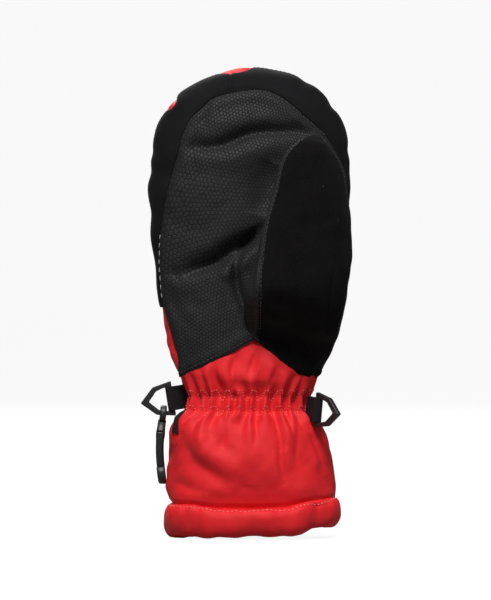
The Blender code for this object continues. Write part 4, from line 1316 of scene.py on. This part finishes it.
def snap_hook():
    """Eye, spine, foot and nose in one moulding, and the thin gate that springs against the nose."""
    eye = hook_bar("eye", circle_part(0, 0, EYE_RADIUS, 0, 360, 49)[:-1], 1.1, 2.0, closed=True)
    spine = [(0, -4.6), (-3.2, -7.4), (-4.9, -11.0), (-FOOT_RADIUS, -16.0), (-FOOT_RADIUS, FOOT_Z)]
    foot = circle_part(0, FOOT_Z, FOOT_RADIUS, 180, 360, 25)
    nose = [(FOOT_RADIUS, FOOT_Z + 4.0)]
    curl = np.concatenate([along_path(rounded_path(spine, 3), 40)[:-1], foot, nose])
    shoulder = bump(curl[:, 1], -13.0, 3.0)
    frame_bar = hook_bar("frame", curl, 1.5 + 0.25 * shoulder, 2.55 + 0.35 * shoulder)
    root = hook_bar("root", along_path([(0, -4.6), (3.0, -8.0), (4.7, -11.2)], 12), 1.4, 2.2)
    body = joined("hook_body_moulding", [eye, frame_bar, root])
    gate_path = rounded_path([(4.75, -11.5), (4.6, -20.0), (3.6, -28.0), (2.3, -34.8)], 2)
    gate = hook_bar("hook_gate_moulding", along_path(gate_path, 30), 1.0, 2.1)
    for piece, node, rides_on in ((body, "hook_body", "snap_hook"), (gate, "hook_gate", "hook_gate")):
        stands_for(piece, "black_acetal", node)
        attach(piece, rides_on)


def webbing_tail():
    """The sewn-down end of the outer loop's webbing, which comes down and round onto the cuff's front."""
    foot_turn, turns_wide, drift = 0.552, 0.034, 0.047
    foot_z, length, skew = 66.2, 14.5, 1.2
    across, up = np.meshgrid(np.linspace(0, 1, 12), np.linspace(0, 1, 28))
    turn = foot_turn + turns_wide * across - drift * up**1.5
    height = foot_z + length * up - skew * across * (1 - up)
    grid = red_at(turn, height) + outward_of_body(turn, height)
    cloth = np.stack([height, across * 5.0], axis=-1)
    piece = surface_piece("outer_webbing_tail", grid, WEBBING, WEBBING_THICKNESS, cloth=cloth)
    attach(piece, "cuff")


def hardware():
    """Both rings in their loops, and the hook that hangs from the outer one."""
    webbing_tail()
    for side, outward, tail in (("outer", OUTER_DIRECTION, 9.5), ("thumb_side", THUMB_SIDE_DIRECTION, 7.0)):
        joint = side + "_ring_turn"
        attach(webbing_loop(side + "_webbing_loop", joint, outward, tail), "cuff")
        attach(ring(side + "_ring", joint, outward), side + "_ring")
    snap_hook()


# ---------------------------------------------------------------- sewing
GLINT_STITCHES_Z = (148, 190)  # where the palm's outer seam glints: stitches painted pale there, painted glints on real stitches


def sewn(name, grid, rows, columns, surface, slot, **sizes):
    """Stitches along one line of a grid, given as slices."""
    path, outward = grid[rows, columns], normals_of(grid)[rows, columns]
    piece = stitches(name, path, outward, surface, **sizes)
    return piece


def elastic_row(node, low, high, turns):
    """A wavy row of stitches that holds the elastic, peaking on the gathers."""
    turn = np.linspace(*turns, 900)
    wave = np.clip(1.5 * np.cos(round_wrist(turn) * PLEATS * TAU), -1, 1)
    height = (low + high) / 2 + (high - low) / 2 * wave
    path = red_at(turn, height)
    sizes = {"length": 1.05, "gap": 0.95, "radius": 0.36}
    piece = stitches(node + "_sewn", path, outward_of_body(turn, height), RED_THREAD, **sizes)
    stands_for(piece, "red_thread", node)
    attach(piece, "cuff")


def seams(palm_grid, gusset_grid, thumb_grid, hem_grid):
    """Every row of stitches that shows."""
    every = slice(None)
    fine = {"radius": 0.26}
    black = (BLACK_THREAD, "black_webbing")
    beside_thumb = palm_grid[4, :, 0] < APEX[0] - 1
    heel = sewn("palm_heel_stitches", palm_grid, 4, beside_thumb, *black, radius=0.3)
    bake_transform(heel)
    side_z = palm_grid[:, 1, 2]
    shown = (side_z > GLINT_STITCHES_Z[0]) & (side_z < GLINT_STITCHES_Z[1])
    pale = {"length": 3.6, "gap": 1.6, "radius": 0.24}
    # Real stitches painted pale, only where the outer seam glints: painted glints.
    glints = sewn("palm_side_stitches", palm_grid, shown, 1, GLINT_PAINTED_THREAD, "black_webbing", **pale)
    crown = sewn("palm_crown_stitches", palm_grid, -3, every, *black, **fine)
    edge = sewn("gusset_edge_stitches", gusset_grid, -3, every, *black, **fine)
    for piece in (glints, crown, edge):
        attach(piece, "hand")
    thumb_line = sewn("thumb_seam_stitches", thumb_grid, slice(8, None), 2, *black, **fine)
    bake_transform(thumb_line)
    for side, turns in (("palm", (0.5, 0.92)), ("back", (-0.06, 0.48))):
        for row, low, high in (("upper", 86.0, 92.3), ("lower", 77.2, 82.2)):
            elastic_row(f"{row}_elastic_stitching_{side}", low, high, turns)
    short = {"length": 1.4, "gap": 1.3, "radius": 0.42}
    hem_line = sewn("hem_stitching_sewn", hem_grid, 8, every, RED_THREAD, "red_thread", **short)
    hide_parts("hem_stitching")
    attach(hem_line, "cuff")


# ---------------------------------------------------------------- build the mitten
palm, palm_grid = palm_panel()
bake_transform(palm)
gusset_piece, gusset_grid = gusset()
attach(gusset_piece, "hand")
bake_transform(red_shell())
hem, hem_grid = hem_roll()
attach(hem, "cuff")
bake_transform(lining())
thumb_front, thumb_front_grid = thumb_skin("thumb_front_skin", True, 120, SUEDE, 0.25)
thumb_back, _ = thumb_skin("thumb_back_skin", False, 130, GRIP, 0.9)
stands_for(thumb_front, "brushed_suede", "thumb_front_panel", "thumb_insulation")
stands_for(thumb_back, "grip_leather", "thumb_back_panel")
for thumb_panel in (thumb_front, thumb_back):
    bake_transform(thumb_panel)
hardware()
seams(palm_grid, gusset_grid, thumb_front_grid, hem_grid)


# ---------------------------------------------------------------- camera, light and floor
FRAME_HEIGHT = 372.0  # what the picture shows, from top to bottom
LENS = 200.0
SENSOR = 36.0
VIEW_CENTRE = (0.0, 0.0, 148.0)
SURROUND_LIGHT = 0.085


def aim(thing, target):
    """Turns a camera or a lamp towards its target."""
    thing.rotation_euler = (Vector(target) - thing.location).to_track_quat("-Z", "Y").to_euler()


def camera():
    """A long lens, level and straight in front of the palm."""
    eye = bpy.data.cameras.new("camera")
    eye.lens = LENS
    eye.sensor_width = SENSOR
    made = placed("camera", eye)
    distance = FRAME_HEIGHT * LENS / SENSOR
    made.location = Vector((VIEW_CENTRE[0], VIEW_CENTRE[1] - distance, VIEW_CENTRE[2])) * MM
    aim(made, Vector(VIEW_CENTRE) * MM)
    eye.clip_start, eye.clip_end = 0.05, 20.0
    bpy.context.scene.camera = made


def area_light(name, place, target, size, power):
    """A soft rectangular lamp; its place, target and size are in metres, its power in watts."""
    lamp = bpy.data.lights.new(name, "AREA")
    lamp.shape = "RECTANGLE"
    lamp.size, lamp.size_y = size
    lamp.energy = power
    made = placed(name, lamp)
    made.location = place
    made.visible_camera = False
    aim(made, target)


def backdrop():
    """A pale floor that curves up into a pale wall far behind."""
    n = Nodes("backdrop")
    pale, dim = (0.18, 0.18, 0.18, 1.0), (0.25, 0.25, 0.25, 1.0)
    seen = n.add("LightPath").outputs["Is Camera Ray"]
    surface = n.finish(
        Base_Color=n.mix(seen, dim, pale),
        Roughness=0.9,
        Specular_IOR_Level=0.0,
        Emission_Color=(1.0, 1.0, 1.0, 1.0),
        Emission_Strength=n.math("MULTIPLY", seen, 0.9),
    )
    reach, wall_y, wall_top, sweep = 30.0, 3.6, 5.0, 0.8  # in metres
    profile = [(-reach, 0.0), (wall_y - sweep, 0.0)]
    for t in np.linspace(0.15, math.pi / 2, 12):
        profile.append((wall_y - sweep + sweep * math.sin(t), sweep - sweep * math.cos(t)))
    profile.append((wall_y, wall_top))
    mesh = bpy.data.meshes.new("backdrop")
    points = [(side * reach, y, z) for y, z in profile for side in (-1, 1)]
    faces = [(2 * k, 2 * k + 1, 2 * k + 3, 2 * k + 2) for k in range(len(profile) - 1)]
    mesh.from_pydata(points, [], faces)
    mesh.shade_smooth()
    mesh.materials.append(surface)
    placed("backdrop", mesh)


def surround():
    """A pale surround that lights softly and looks nearly white itself."""
    world = bpy.data.worlds.new("studio")
    world.use_nodes = True
    tree = world.node_tree
    lighting = tree.nodes["Background"]
    lighting.inputs["Color"].default_value = (1.0, 1.0, 1.0, 1.0)
    lighting.inputs["Strength"].default_value = SURROUND_LIGHT
    seen = tree.nodes.new("ShaderNodeBackground")
    seen.inputs["Color"].default_value = (0.93, 0.93, 0.93, 1.0)
    rays = tree.nodes.new("ShaderNodeLightPath")
    mixed = tree.nodes.new("ShaderNodeMixShader")
    tree.links.new(rays.outputs["Is Camera Ray"], mixed.inputs[0])
    tree.links.new(lighting.outputs[0], mixed.inputs[1])
    tree.links.new(seen.outputs[0], mixed.inputs[2])
    tree.links.new(mixed.outputs[0], tree.nodes["World Output"].inputs["Surface"])
    bpy.context.scene.world = world


def studio():
    """Soft light from in front and above, a little from the left, on a near-white surround."""
    area_light("key", (-0.14, -1.25, 1.75), (0, 0, 0.13), (0.6, 0.6), 51.0)
    area_light("fill", (1.6, -1.4, 0.7), (0, 0, 0.15), (1.2, 1.2), 2.0)
    area_light("rim", (-0.4, 1.6, 1.7), (0, 0, 0.15), (1.2, 1.2), 34.0)
    surround()
    bpy.context.scene.view_settings.view_transform = "Standard"


camera()
studio()
backdrop()
